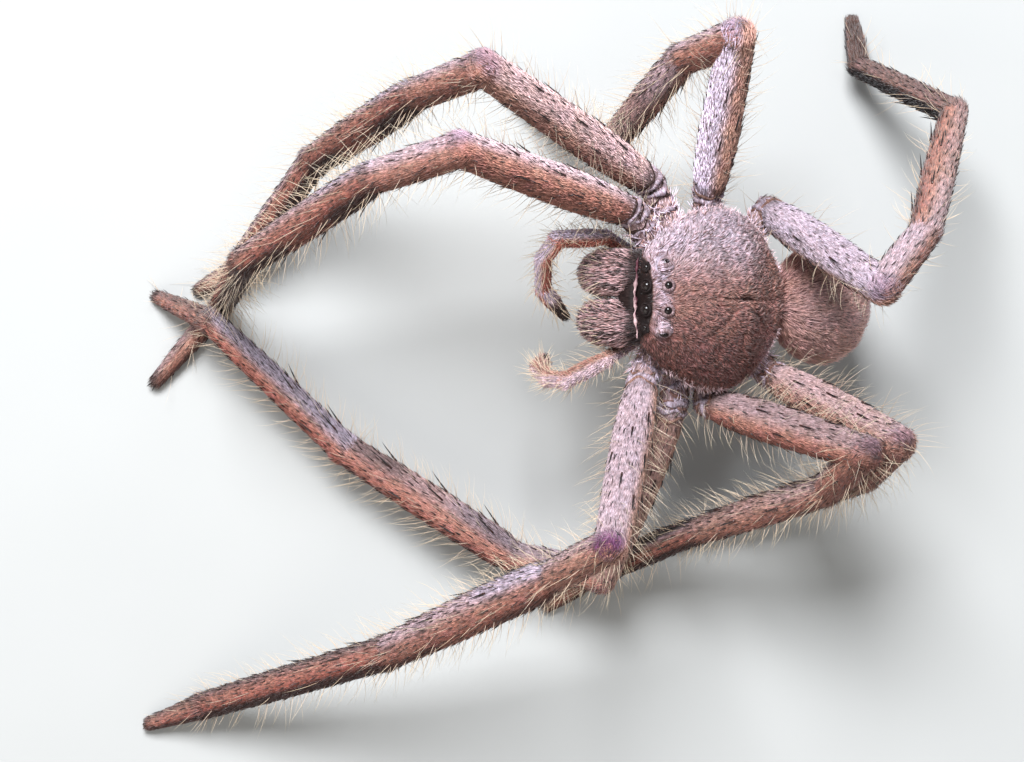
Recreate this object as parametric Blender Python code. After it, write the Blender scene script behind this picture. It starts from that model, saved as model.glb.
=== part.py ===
"""A huntsman spider standing on the floor, built as one solid per named part of the animal."""
import math

import bmesh
import bpy
from mathutils import Matrix, Vector
from mathutils.bvhtree import BVHTree

MM = 0.001

# Where the body stands, in millimetres, and how far its front is raised.
BODY_HEIGHT = 12.7
BODY_SETBACK = 1.6
BODY_PITCH = math.radians(25.0)
BODY_ROLL = math.radians(2.0)
# Shifts the whole animal so that its box is centred over the origin.
CENTRE_X = 4.746
CENTRE_Y = -8.912

# Width of the gap left between two named parts that meet.
JOINT_GAP = 0.16
SKIN_GAP = 0.12

# Carapace, in the body's own frame: X to its left, Y to its rear, Z up.
CARAPACE_FRONT = -5.5
CARAPACE_REAR = 5.2
CARAPACE_HALF_WIDTH = 5.95
CARAPACE_FRONT_HALF_WIDTH = 3.4
HEAD_TOP = 2.95
CARAPACE_TOP = 3.65
CARAPACE_REAR_DROP = 2.1
RIM_HEIGHT = 0.5
UNDERSIDE_DEPTH = 0.75
WIDEST_SHARE = 0.55
# How blunt the two ends are: a smaller power makes a squarer end.
OUTLINE_POWER = 0.3
HEIGHT_POWER = 0.34

# Joint positions of each leg over the floor: base, knee, patella end, tibia end, metatarsus end, tip.
LEGS = {
    "leg_R1": [(-5.5, -3.3, 14.5), (-8.6, -14.1, 24.1), (-7.0, -19.5, 22.7), (-2.3, -28.2, 14.6),
               (0.15, -31.4, 1.2), (5.2, -35.9, 0.47)],
    "leg_R2": [(-7.5, -2.0, 13.0), (-13.6, -12.7, 23.4), (-12.5, -17.1, 18.9), (-9.4, -24.3, 8.1),
               (-2.2, -30.5, 1.5), (-1.2, -32.8, 0.47)],
    "leg_R3": [(-6.9, 1.8, 11.6), (-15.9, 2.9, 20.6), (-15.0, -0.3, 16.8), (-10.6, -4.4, 7.9),
               (-14.1, -9.5, 1.6), (-16.2, -12.2, 0.47)],
    "leg_R4": [(-6.0, 6.0, 9.2), (-0.5, 12.1, 19.0), (-4.1, 15.1, 16.9), (-12.4, 18.2, 10.3),
               (-16.5, 13.1, 2.4), (-19.9, 12.9, 0.47)],
    "leg_L1": [(5.4, -2.5, 12.6), (15.4, -4.9, 21.5), (17.7, -8.5, 17.2), (23.4, -19.4, 9.7),
               (28.0, -32.6, 1.8), (29.4, -36.4, 0.47)],
    "leg_L2": [(6.9, -0.4, 11.0), (18.7, -4.9, 5.1), (17.4, -11.0, 3.9), (10.0, -22.6, 3.4),
               (1.2, -31.8, 3.9), (-0.5, -35.8, 0.47)],
    "leg_L3": [(6.8, 1.9, 11.0), (9.8, 10.9, 19.3), (12.3, 9.1, 15.1), (15.5, 1.3, 7.2),
               (19.0, -5.5, 1.5), (21.0, -8.3, 0.47)],
    "leg_L4": [(5.0, 6.3, 9.2), (9.2, 13.1, 18.5), (11.4, 11.7, 14.4), (13.0, 9.8, 4.3),
               (15.9, 0.9, 1.3), (17.1, -2.4, 0.47)],
}
# Where each coxa leaves the sternum, in the body's frame, for a left leg.
COXA_ROOTS = {
    "1": (2.9, -2.6, -2.1),
    "2": (3.3, -0.75, -2.2),
    "3": (3.3, 1.15, -2.2),
    "4": (2.7, 3.2, -2.0),
}
# Thickness along each segment of a leg: share of its length, and radius there.
COXA_GIRTH = [(0.0, 0.84), (0.5, 0.95), (1.0, 1.02)]
FEMUR_GIRTH = [(0.0, 1.02), (0.14, 1.24), (0.36, 1.38), (0.7, 1.32), (1.0, 1.2)]
PATELLA_GIRTH = [(0.0, 1.2), (0.5, 1.2), (1.0, 1.12)]
TIBIA_GIRTH = [(0.12, 1.16), (0.55, 1.16), (1.0, 1.0)]
METATARSUS_GIRTH = [(0.0, 1.03), (0.12, 0.98), (0.6, 0.93), (1.0, 0.82)]
TARSUS_GIRTH = [(0.5, 0.8), (1.0, 0.6)]
# How much thicker than that the outer half of a leg is, beyond its patella.
OUTER_GIRTH = {"leg_R1": 1.08, "leg_R2": 1.12, "leg_L1": 1.24, "leg_L2": 1.16}
# Stations of a rounded end: share of the end radius that each lies past the joint, and its own share.
DOME = [(0.6, 0.8), (0.97, 0.3)]

# Spines of the legs. Each is a share along its segment, a turn round the limb in degrees
# counted from the limb's upper side, and a length in millimetres.
SPINE_ROOT_RADIUS = 0.27
SPINE_TIP_RADIUS = 0.04
SPINE_LEAN = math.radians(38.0)
SPINE_CLEARANCE = 0.35
# Share of the segment's radius at which a spine's root lies, and by which it is made longer for that.
SPINE_ROOT_DEPTH = 0.62
SPINE_EXTRA = 0.3
SPINE_FLOOR_GAP = 0.15
FEMUR_SPINES = [(0.26, 5, 1.7), (0.5, -4, 1.8), (0.74, 4, 1.7), (0.38, 58, 1.7), (0.66, 62, 1.7),
                (0.38, -58, 1.7), (0.66, -62, 1.7)]
TIBIA_SPINES = [(0.14, 150, 2.2), (0.14, -150, 2.2), (0.44, 150, 2.3), (0.44, -150, 2.3),
                (0.74, 150, 2.1), (0.74, -150, 2.1), (0.3, 82, 1.8), (0.62, 84, 1.8),
                (0.3, -82, 1.8), (0.62, -84, 1.8)]
METATARSUS_SPINES = [(0.12, 150, 2.1), (0.12, -150, 2.1), (0.44, 150, 1.9), (0.44, -150, 1.9),
                     (0.2, 75, 1.6), (0.2, -75, 1.6)]

# Palp joints over the floor: base, knee, patella end, tibia end, tip.
PALPS = {
    "palp_right": [(-3.95, -4.9, 13.4), (-3.7, -8.1, 15.9), (-2.5, -9.0, 15.0), (-0.6, -9.0, 12.9),
                   (1.0, -7.6, 11.2)],
    "palp_left": [(3.95, -4.9, 13.4), (5.3, -7.6, 15.2), (5.2, -8.7, 14.6), (4.6, -9.3, 12.8),
                  (3.9, -8.9, 10.8)],
}
PALP_ROOT = (2.7, -3.2, -3.5)
PALP_COXA_RADIUS = 0.5
PALP_FEMUR_GIRTH = [(0.0, 0.55), (0.4, 0.64), (1.0, 0.6)]
PALP_TIBIA_RADII = [0.6, 0.6, 0.56]
PALP_TARSUS_GIRTH = [(0.0, 0.56), (0.4, 0.6), (1.0, 0.4)]

# Eyes: place on the left half of the head seen from above, radius, and how much of it is sunk.
EYES = {
    "eye_front_middle": ((0.76, -5.38), 0.42, 0.25),
    "eye_front_side": ((1.95, -5.26), 0.38, 0.2),
    "eye_rear_middle": ((0.79, -4.25), 0.33, 0.2),
    "eye_rear_side": ((2.15, -4.3), 0.36, 0.0),
}
EYE_SOCKET_GAP = 0.1
MOUND_SINK = 0.3
MOUND_RIM = 0.22

# Chelicera: centre line and thickness, left half.
CHELICERA = [((1.6, -4.6, -0.3), 1.3), ((1.62, -5.6, -1.2), 1.48), ((1.6, -6.15, -2.5), 1.48),
             ((1.5, -6.1, -3.7), 1.28), ((1.42, -5.8, -4.6), 0.9)]
FANG = [(1.2, -5.3, -5.8), (0.9, -4.5, -6.0), (0.55, -3.8, -5.7), (0.35, -3.3, -5.2)]
FANG_RADII = [0.34, 0.3, 0.2, 0.08]

# Abdomen: centre over the floor, half lengths, and slope.
ABDOMEN_CENTRE = (0.2, 9.5, 7.7)
ABDOMEN_HALF = (4.0, 3.8, 3.1)
ABDOMEN_PITCH = math.radians(38.0)
# The abdomen widens to its rear by the first share and deepens by the last.
ABDOMEN_WIDENING = 0.06
ABDOMEN_NARROWING = 0.04
ABDOMEN_DEEPENING = 0.05

# Breast plate, stalk and spinnerets.
STERNUM_CENTRE = (0.0, -0.2, -2.25)
STERNUM_HALF = (2.35, 3.1, 0.75)
PEDICEL_START = (0.0, 4.3, -1.0)
PEDICEL_MIDDLE = (0.0, 5.4, -1.1)
PEDICEL_END = (0.2, 6.8, 9.7)
PEDICEL_RADII = [0.7, 0.7, 0.8]
SPINNERET_ROOT = (0.0, 3.534, -0.9)
SPINNERET_LENGTH = 0.9
SPINNERET_RADII = [0.62, 0.5]

COLOURS = {
    "carapace": ((0.42, 0.27, 0.23), 0.75),
    "abdomen": ((0.36, 0.24, 0.20), 0.8),
    "leg": ((0.46, 0.30, 0.27), 0.7),
    "coxa": ((0.45, 0.30, 0.22), 0.75),
    "eye": ((0.01, 0.008, 0.008), 0.08),
    "chelicera": ((0.34, 0.26, 0.25), 0.7),
    "fang": ((0.02, 0.012, 0.01), 0.2),
    "palp": ((0.48, 0.33, 0.29), 0.7),
    "sternum": ((0.30, 0.20, 0.15), 0.75),
}


def clear_scene():
    for obj in list(bpy.data.objects):
        bpy.data.objects.remove(obj, do_unlink=True)


def body_matrix():
    turn = Matrix.Rotation(-BODY_PITCH, 4, "X") @ Matrix.Rotation(BODY_ROLL, 4, "Y")
    return Matrix.Translation((0.0, BODY_SETBACK, BODY_HEIGHT)) @ turn


BODY = body_matrix()


def to_floor_frame(point):
    return BODY @ Vector(point)


def material(kind):
    name = "mat_" + kind
    found = bpy.data.materials.get(name)
    if found:
        return found
    colour, rough = COLOURS[kind]
    mat = bpy.data.materials.new(name)
    mat.use_nodes = True
    shader = mat.node_tree.nodes["Principled BSDF"]
    shader.inputs["Base Color"].default_value = (*colour, 1.0)
    shader.inputs["Roughness"].default_value = rough
    shader.inputs["Metallic"].default_value = 0.0
    mat.diffuse_color = (*colour, 1.0)
    return mat


def new_object(name, bm, collection, kind=None):
    """Turns a bmesh in millimetres over the floor into an object in metres."""
    bmesh.ops.recalc_face_normals(bm, faces=bm.faces)
    mesh = bpy.data.meshes.new(name)
    bm.to_mesh(mesh)
    bm.free()
    for face in mesh.polygons:
        face.use_smooth = True
    obj = bpy.data.objects.new(name, mesh)
    collection.objects.link(obj)
    if kind:
        own = material(kind).copy()
        own.name = "mat_" + name
        mesh.materials.append(own)
    return obj


def boolean(obj, cutter, operation):
    mod = obj.modifiers.new("join", "BOOLEAN")
    mod.object = cutter
    mod.operation = operation
    mod.solver = "EXACT"
    apply_modifier(obj)


def apply_modifier(obj):
    bpy.context.view_layer.update()
    graph = bpy.context.evaluated_depsgraph_get()
    mesh = bpy.data.meshes.new_from_object(obj.evaluated_get(graph))
    obj.modifiers.clear()
    old = obj.data
    obj.data = mesh
    bpy.data.meshes.remove(old)
    keep_largest_piece(obj)


def keep_largest_piece(obj):
    bm = bmesh.new()
    bm.from_mesh(obj.data)
    unseen = set(bm.faces)
    pieces = []
    while unseen:
        start = unseen.pop()
        piece = [start]
        for face in piece:
            for edge in face.edges:
                for other in edge.link_faces:
                    if other in unseen:
                        unseen.remove(other)
                        piece.append(other)
        pieces.append(piece)
    pieces.sort(key=len)
    for piece in pieces[:-1]:
        bmesh.ops.delete(bm, geom=piece, context="FACES")
    bm.to_mesh(obj.data)
    bm.free()


def tube(points, radii, sides_level=3):
    """Sweeps a round section along joint positions and returns its closed bmesh."""
    curve = bpy.data.curves.new("path", "CURVE")
    curve.dimensions = "3D"
    curve.bevel_depth = 1.0
    curve.bevel_resolution = sides_level
    curve.use_fill_caps = True
    spline = curve.splines.new("POLY")
    spline.points.add(len(points) - 1)
    for slot, point, radius in zip(spline.points, points, radii):
        slot.co = (*point, 1.0)
        slot.radius = radius
    holder = bpy.data.objects.new("path", curve)
    bpy.context.scene.collection.objects.link(holder)
    bpy.context.view_layer.update()
    graph = bpy.context.evaluated_depsgraph_get()
    mesh = bpy.data.meshes.new_from_object(holder.evaluated_get(graph))
    bm = bmesh.new()
    bm.from_mesh(mesh)
    bpy.data.objects.remove(holder, do_unlink=True)
    bpy.data.curves.remove(curve)
    bpy.data.meshes.remove(mesh)
    bmesh.ops.remove_doubles(bm, verts=bm.verts, dist=0.0001)
    bmesh.ops.recalc_face_normals(bm, faces=bm.faces)
    return bm


def cut_flat(bm, point, normal):
    """Takes away what lies on the normal's side of a plane and closes the opening."""
    geom = list(bm.verts) + list(bm.edges) + list(bm.faces)
    result = bmesh.ops.bisect_plane(
        bm, geom=geom, dist=0.0001, plane_co=point, plane_no=normal, clear_outer=True)
    edges = [item for item in result["geom_cut"] if isinstance(item, bmesh.types.BMEdge)]
    if edges:
        bmesh.ops.contextual_create(bm, geom=edges)


def joint_plane(before, joint, after):
    """The plane that halves the bend at a joint, facing along the limb."""
    first = (Vector(joint) - Vector(before)).normalized()
    second = (Vector(after) - Vector(joint)).normalized()
    return (first + second).normalized()


def limb(points, radii, start_round=True, end_round=True, sides_level=3):
    """A tube through joints, with a rounded end past its first and last joints."""
    points = [Vector(point) for point in points]
    path = list(points)
    sizes = list(radii)
    if start_round:
        back = (points[0] - points[1]).normalized()
        for reach, share in DOME:
            path = [points[0] + back * radii[0] * reach] + path
            sizes = [radii[0] * share] + sizes
    if end_round:
        ahead = (points[-1] - points[-2]).normalized()
        for reach, share in DOME:
            path = path + [points[-1] + ahead * radii[-1] * reach]
            sizes = sizes + [radii[-1] * share]
    return tube(path, sizes, sides_level)


def along(start, end, share):
    return Vector(start).lerp(Vector(end), share)


def stations(start, end, girth, factor=1.0):
    """Points and radii along one segment, from its table of girths."""
    points = [along(start, end, share) for share, _ in girth]
    return points, [radius * factor for _, radius in girth]


def chain(*parts):
    """The points and radii of several stretches as one path."""
    points = [point for part in parts for point in part[0]]
    radii = [radius for part in parts for radius in part[1]]
    return points, radii


def build_leg(name, joints, collection, cutters):
    """Builds one leg's four nodes and returns the segments that carry spines."""
    side = 1.0 if name[4] == "L" else -1.0
    root = Vector(COXA_ROOTS[name[5]])
    root.x *= side
    root = to_floor_frame(root)
    base, knee, patella, tibia, meta, tip = [Vector(point) for point in joints]
    base_plane = joint_plane(root, base, knee)
    knee_plane = joint_plane(base, knee, patella)
    tibia_plane = joint_plane(patella, tibia, meta)
    half = JOINT_GAP / 2.0

    outer = OUTER_GIRTH.get(name, 1.0)

    bm = limb(*stations(root, base, COXA_GIRTH))
    cut_flat(bm, base - base_plane * half, base_plane)
    coxa = new_object(name + "_coxa", bm, collection, "coxa")
    for cutter in cutters:
        boolean(coxa, cutter, "DIFFERENCE")

    bm = limb(*stations(base, knee, FEMUR_GIRTH))
    cut_flat(bm, base + base_plane * half, -base_plane)
    cut_flat(bm, knee - knee_plane * half, knee_plane)
    femur_object = new_object(name + "_femur", bm, collection, "leg")

    bm = limb(*chain(stations(knee, patella, PATELLA_GIRTH),
                     stations(patella, tibia, TIBIA_GIRTH, outer)))
    cut_flat(bm, knee + knee_plane * half, -knee_plane)
    cut_flat(bm, tibia - tibia_plane * half, tibia_plane)
    tibia_object = new_object(name + "_tibia", bm, collection, "leg")

    bm = limb(*chain(stations(tibia, meta, METATARSUS_GIRTH, outer),
                     stations(meta, tip, TARSUS_GIRTH)))
    cut_flat(bm, tibia + tibia_plane * half, -tibia_plane)
    cut_flat(bm, Vector((0.0, 0.0, 0.0)), Vector((0.0, 0.0, -1.0)))
    foot_object = new_object(name + "_tarsus", bm, collection, "leg")

    across = (knee - base).cross(tibia - patella).normalized()
    return [(femur_object, base, knee, across, FEMUR_GIRTH[3][1], FEMUR_SPINES),
            (tibia_object, patella, tibia, across, TIBIA_GIRTH[0][1] * outer, TIBIA_SPINES),
            (foot_object, tibia, meta, across, METATARSUS_GIRTH[1][1] * outer, METATARSUS_SPINES)]


def spine_places(start, end, across, radius, table):
    """Root, direction and length of each spine of one segment."""
    axis = (end - start).normalized()
    upper = axis.cross(across).normalized()
    beside = axis.cross(upper).normalized()
    for share, turn, length in table:
        angle = math.radians(turn)
        outward = upper * math.cos(angle) + beside * math.sin(angle)
        root = along(start, end, share) + outward * radius * SPINE_ROOT_DEPTH
        yield root, axis * math.cos(SPINE_LEAN) + outward * math.sin(SPINE_LEAN), length


def spine_bmesh(root, direction, length):
    bm = bmesh.new()
    bmesh.ops.create_cone(bm, cap_ends=True, segments=5, radius1=SPINE_ROOT_RADIUS,
                          radius2=SPINE_TIP_RADIUS, depth=length)
    turn = Vector((0.0, 0.0, 1.0)).rotation_difference(direction).to_matrix().to_4x4()
    bm.transform(Matrix.Translation(root + direction * length * 0.5) @ turn)
    return bm


def add_spines(segments, collection, tools):
    """Joins the spines to their segments, leaving out any that would touch another node."""
    trees = {}
    for obj in collection.objects:
        bm = bmesh.new()
        bm.from_mesh(obj.data)
        trees[obj.name] = BVHTree.FromBMesh(bm)
        bm.free()
    for obj, start, end, across, radius, table in segments:
        group = bpy.data.collections.new("spines")
        tools.children.link(group)
        others = [tree for name, tree in trees.items() if name != obj.name]
        for root, direction, length in spine_places(start, end, across, radius, table):
            full = length + radius * SPINE_EXTRA
            checks = [root + direction * full * share for share in (0.5, 0.75, 1.0)]
            near = any(tree.find_nearest(point, SPINE_CLEARANCE)[0] is not None
                       for tree in others for point in checks)
            if near or checks[-1].z < SPINE_FLOOR_GAP:
                continue
            new_object("spine", spine_bmesh(root, direction, full), group)
        if group.objects:
            unite(obj, group)
        for piece in list(group.objects):
            bpy.data.objects.remove(piece, do_unlink=True)
        bpy.data.collections.remove(group)


def unite(obj, group):
    mod = obj.modifiers.new("join", "BOOLEAN")
    mod.operand_type = "COLLECTION"
    mod.collection = group
    mod.operation = "UNION"
    mod.solver = "EXACT"
    apply_modifier(obj)


def smooth_ratio(value):
    value = min(1.0, max(0.0, value))
    return value * value * (3.0 - 2.0 * value)


def carapace_half_width(share):
    """Half width along the carapace, from 0 at its front to 1 at its rear."""
    if share < WIDEST_SHARE:
        grow = math.sin(0.5 * math.pi * share / WIDEST_SHARE) ** 0.9
        return CARAPACE_FRONT_HALF_WIDTH + (CARAPACE_HALF_WIDTH - CARAPACE_FRONT_HALF_WIDTH) * grow
    fall = (share - WIDEST_SHARE) / (1.0 - WIDEST_SHARE)
    return CARAPACE_HALF_WIDTH * (1.0 - 0.5 * fall ** 2.4)


def carapace_top(share):
    rise = smooth_ratio(share / 0.4)
    fall = smooth_ratio((share - 0.6) / 0.4)
    return HEAD_TOP + (CARAPACE_TOP - HEAD_TOP) * rise - CARAPACE_REAR_DROP * fall


def carapace_bmesh(grow=0.0):
    bm = bmesh.new()
    bmesh.ops.create_uvsphere(bm, u_segments=28, v_segments=18, radius=1.0)
    for vert in bm.verts:
        polar = math.acos(max(-1.0, min(1.0, vert.co.z)))
        share = 0.5 - 0.5 * math.cos(polar)
        ring = math.hypot(vert.co.x, vert.co.y)
        outline = ring ** OUTLINE_POWER if ring > 1e-6 else 0.0
        doming = ring ** HEIGHT_POWER if ring > 1e-6 else 0.0
        angle = math.atan2(vert.co.y, vert.co.x)
        across = math.cos(angle)
        upward = math.sin(angle)
        width = (carapace_half_width(share) + grow) * outline
        length = CARAPACE_REAR - CARAPACE_FRONT + 2.0 * grow
        place_y = CARAPACE_FRONT - grow + length * share
        if upward > 0.0:
            height = RIM_HEIGHT + (carapace_top(share) + grow - RIM_HEIGHT) * upward * doming
        else:
            height = RIM_HEIGHT + (UNDERSIDE_DEPTH + grow) * upward * doming
        vert.co = (width * across, place_y, height)
    bmesh.ops.remove_doubles(bm, verts=bm.verts, dist=0.0001)
    bm.transform(BODY)
    bmesh.ops.recalc_face_normals(bm, faces=bm.faces)
    return bm


def ball(centre, radius, matrix=None, segments=10, rings=7, scale=(1.0, 1.0, 1.0)):
    bm = bmesh.new()
    bmesh.ops.create_uvsphere(bm, u_segments=segments, v_segments=rings, radius=radius)
    bmesh.ops.scale(bm, vec=scale, verts=bm.verts)
    bm.transform(Matrix.Translation(centre))
    if matrix is not None:
        bm.transform(matrix)
    return bm


def build_body(collection, tools):
    carapace = new_object("carapace", carapace_bmesh(), collection, "carapace")
    carapace_tool = new_object("carapace_cutter", carapace_bmesh(SKIN_GAP), tools)
    bm = ball(STERNUM_CENTRE, 1.0, BODY, 16, 10, STERNUM_HALF)
    new_object("sternum", bm, collection, "sternum")
    grown = tuple(value + SKIN_GAP for value in STERNUM_HALF)
    sternum_tool = new_object("sternum_cutter", ball(STERNUM_CENTRE, 1.0, BODY, 16, 10, grown), tools)

    turn = Matrix.Translation(ABDOMEN_CENTRE) @ Matrix.Rotation(-ABDOMEN_PITCH, 4, "X")
    abdomen_bm = ball((0.0, 0.0, 0.0), 1.0, None, 24, 16, ABDOMEN_HALF)
    for vert in abdomen_bm.verts:
        share = vert.co.y / ABDOMEN_HALF[1]
        vert.co.x *= 1.0 + ABDOMEN_WIDENING * share - ABDOMEN_NARROWING * share * share
        vert.co.z *= 1.0 + ABDOMEN_DEEPENING * share
    abdomen_bm.transform(turn)
    abdomen = new_object("abdomen", abdomen_bm, collection, "abdomen")

    start = to_floor_frame(PEDICEL_START)
    middle = to_floor_frame(PEDICEL_MIDDLE)
    bm = limb([start, middle, Vector(PEDICEL_END)], PEDICEL_RADII, sides_level=2)
    pedicel = new_object("pedicel", bm, collection, "sternum")
    boolean(pedicel, carapace_tool, "DIFFERENCE")
    grown = new_object("abdomen_cutter", ball_like(abdomen, SKIN_GAP), tools)
    boolean(pedicel, grown, "DIFFERENCE")

    rear = turn @ Vector(SPINNERET_ROOT)
    ahead = (turn.to_3x3() @ Vector((0.0, 1.0, -0.25))).normalized()
    bm = limb([rear, rear + ahead * SPINNERET_LENGTH], SPINNERET_RADII, sides_level=2)
    spinnerets = new_object("spinnerets", bm, collection, "sternum")
    boolean(spinnerets, grown, "DIFFERENCE")
    return carapace, carapace_tool, sternum_tool


def ball_like(obj, grow):
    """A copy of an object's shape pushed outwards along its vertex normals."""
    bm = bmesh.new()
    bm.from_mesh(obj.data)
    bm.normal_update()
    for vert in bm.verts:
        vert.co += vert.normal * grow
    return bm


def on_carapace(tree, x, y):
    """The point of the carapace over a place of the body's plan, and its outward normal."""
    down = BODY.to_3x3() @ Vector((0.0, 0.0, -1.0))
    place, normal, _, _ = tree.ray_cast(to_floor_frame((x, y, 20.0)), down)
    return place, normal


def build_eyes(carapace, collection, tools):
    tree = BVHTree.FromBMesh(carapace_bmesh())
    for name, ((x, y), radius, sunk) in EYES.items():
        for side, word in ((1.0, "left"), (-1.0, "right")):
            place, normal = on_carapace(tree, x * side, y)
            centre = place - normal * radius * sunk
            if sunk == 0.0:
                root = centre - normal * MOUND_SINK
                mound = new_object("mound", ball(root, radius + MOUND_RIM, None, 10, 6), tools)
                boolean(carapace, mound, "UNION")
            socket = new_object("socket", ball(centre, radius + EYE_SOCKET_GAP, None, 10, 6), tools)
            boolean(carapace, socket, "DIFFERENCE")
            new_object(name + "_" + word, ball(centre, radius, None, 10, 6), collection, "eye")


def build_mouthparts(collection, cutters):
    for side, word in ((1.0, "left"), (-1.0, "right")):
        points = [to_floor_frame((p[0] * side, p[1], p[2])) for p, _ in CHELICERA]
        radii = [radius for _, radius in CHELICERA]
        bm = limb(points, radii)
        chelicera = new_object("chelicera_" + word, bm, collection, "chelicera")
        for cutter in cutters:
            boolean(chelicera, cutter, "DIFFERENCE")
        points = [to_floor_frame((p[0] * side, p[1], p[2])) for p in FANG]
        new_object("fang_" + word, tube(points, FANG_RADII, 2), collection, "fang")


def build_palp(name, joints, collection, cutters):
    side = 1.0 if name == "palp_left" else -1.0
    base, knee, patella, tibia, tip = [Vector(point) for point in joints]
    root = to_floor_frame((PALP_ROOT[0] * side, PALP_ROOT[1], PALP_ROOT[2]))
    planes = [joint_plane(root, base, knee), joint_plane(base, knee, patella),
              joint_plane(patella, tibia, tip)]
    half = JOINT_GAP / 2.0
    bm = limb([root, base], [PALP_COXA_RADIUS, PALP_COXA_RADIUS], sides_level=2)
    cut_flat(bm, base - planes[0] * half, planes[0])
    coxa = new_object(name + "_coxa", bm, collection, "palp")
    for cutter in cutters:
        boolean(coxa, cutter, "DIFFERENCE")
    bm = limb(*stations(base, knee, PALP_FEMUR_GIRTH), sides_level=2)
    cut_flat(bm, base + planes[0] * half, -planes[0])
    cut_flat(bm, knee - planes[1] * half, planes[1])
    femur = new_object(name + "_femur", bm, collection, "palp")
    boolean(femur, cutters[0], "DIFFERENCE")
    bm = limb([knee, patella, tibia], PALP_TIBIA_RADII, sides_level=2)
    cut_flat(bm, knee + planes[1] * half, -planes[1])
    cut_flat(bm, tibia - planes[2] * half, planes[2])
    new_object(name + "_tibia", bm, collection, "palp")
    bm = limb(*stations(tibia, tip, PALP_TARSUS_GIRTH), sides_level=2)
    cut_flat(bm, tibia + planes[2] * half, -planes[2])
    new_object(name + "_tarsus", bm, collection, "palp")


def finish(collection):
    """Scales the animal to metres and centres it over the origin."""
    scale = Matrix.Scale(MM, 4) @ Matrix.Translation((-CENTRE_X, -CENTRE_Y, 0.0))
    for obj in collection.objects:
        obj.data.transform(scale)


def build():
    clear_scene()
    collection = bpy.data.collections.new("huntsman_spider")
    tools = bpy.data.collections.new("cutters")
    bpy.context.scene.collection.children.link(collection)
    bpy.context.scene.collection.children.link(tools)
    carapace, carapace_tool, sternum_tool = build_body(collection, tools)
    build_eyes(carapace, collection, tools)
    build_mouthparts(collection, [carapace_tool])
    for name, joints in PALPS.items():
        build_palp(name, joints, collection, [carapace_tool])
    segments = []
    for name, joints in LEGS.items():
        segments += build_leg(name, joints, collection, [carapace_tool, sternum_tool])
    add_spines(segments, collection, tools)
    for obj in list(tools.objects):
        bpy.data.objects.remove(obj, do_unlink=True)
    bpy.data.collections.remove(tools)
    finish(collection)


build()
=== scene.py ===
import math

import bpy
import numpy as np
from mathutils import Matrix, Vector


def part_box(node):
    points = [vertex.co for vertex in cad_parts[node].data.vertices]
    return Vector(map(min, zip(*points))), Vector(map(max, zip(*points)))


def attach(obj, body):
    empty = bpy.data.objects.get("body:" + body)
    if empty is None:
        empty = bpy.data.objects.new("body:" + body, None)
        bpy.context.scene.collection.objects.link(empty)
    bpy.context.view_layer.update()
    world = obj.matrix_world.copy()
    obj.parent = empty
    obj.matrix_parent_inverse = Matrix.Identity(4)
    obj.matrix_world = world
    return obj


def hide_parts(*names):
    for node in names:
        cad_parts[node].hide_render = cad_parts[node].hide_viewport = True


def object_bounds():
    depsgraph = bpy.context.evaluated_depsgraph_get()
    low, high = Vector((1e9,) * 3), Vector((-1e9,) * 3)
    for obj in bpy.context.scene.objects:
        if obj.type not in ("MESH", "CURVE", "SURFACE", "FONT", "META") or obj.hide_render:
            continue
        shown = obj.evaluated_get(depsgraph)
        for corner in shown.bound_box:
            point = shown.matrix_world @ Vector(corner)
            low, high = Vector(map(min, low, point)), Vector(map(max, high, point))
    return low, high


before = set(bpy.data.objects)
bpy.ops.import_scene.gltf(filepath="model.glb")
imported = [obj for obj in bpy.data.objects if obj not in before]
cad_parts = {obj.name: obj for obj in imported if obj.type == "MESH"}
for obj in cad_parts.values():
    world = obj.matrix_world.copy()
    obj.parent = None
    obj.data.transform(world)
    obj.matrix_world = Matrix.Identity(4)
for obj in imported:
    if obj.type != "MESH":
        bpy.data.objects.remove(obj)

cad_low, cad_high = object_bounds()

# Skin of the eight legs
# Each leg is six hard tubes of cuticle that meet in soft joints: coxa, femur, patella, tibia,
# metatarsus and tarsus. The skin lies inside the solid leg by the depth of the short fur.
MM = 0.001
TURN = 2 * np.pi
# Where the origin of the pack's frame lies in the coordinates of the tables below.
CENTRE = np.array([4.746, -8.912, 0.0])
FUR_DEPTH = 0.13
BODY_HEIGHT = 12.7
BODY_SETBACK = 1.6
BODY_PITCH = math.radians(25.0)
BODY_ROLL = math.radians(2.0)

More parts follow.
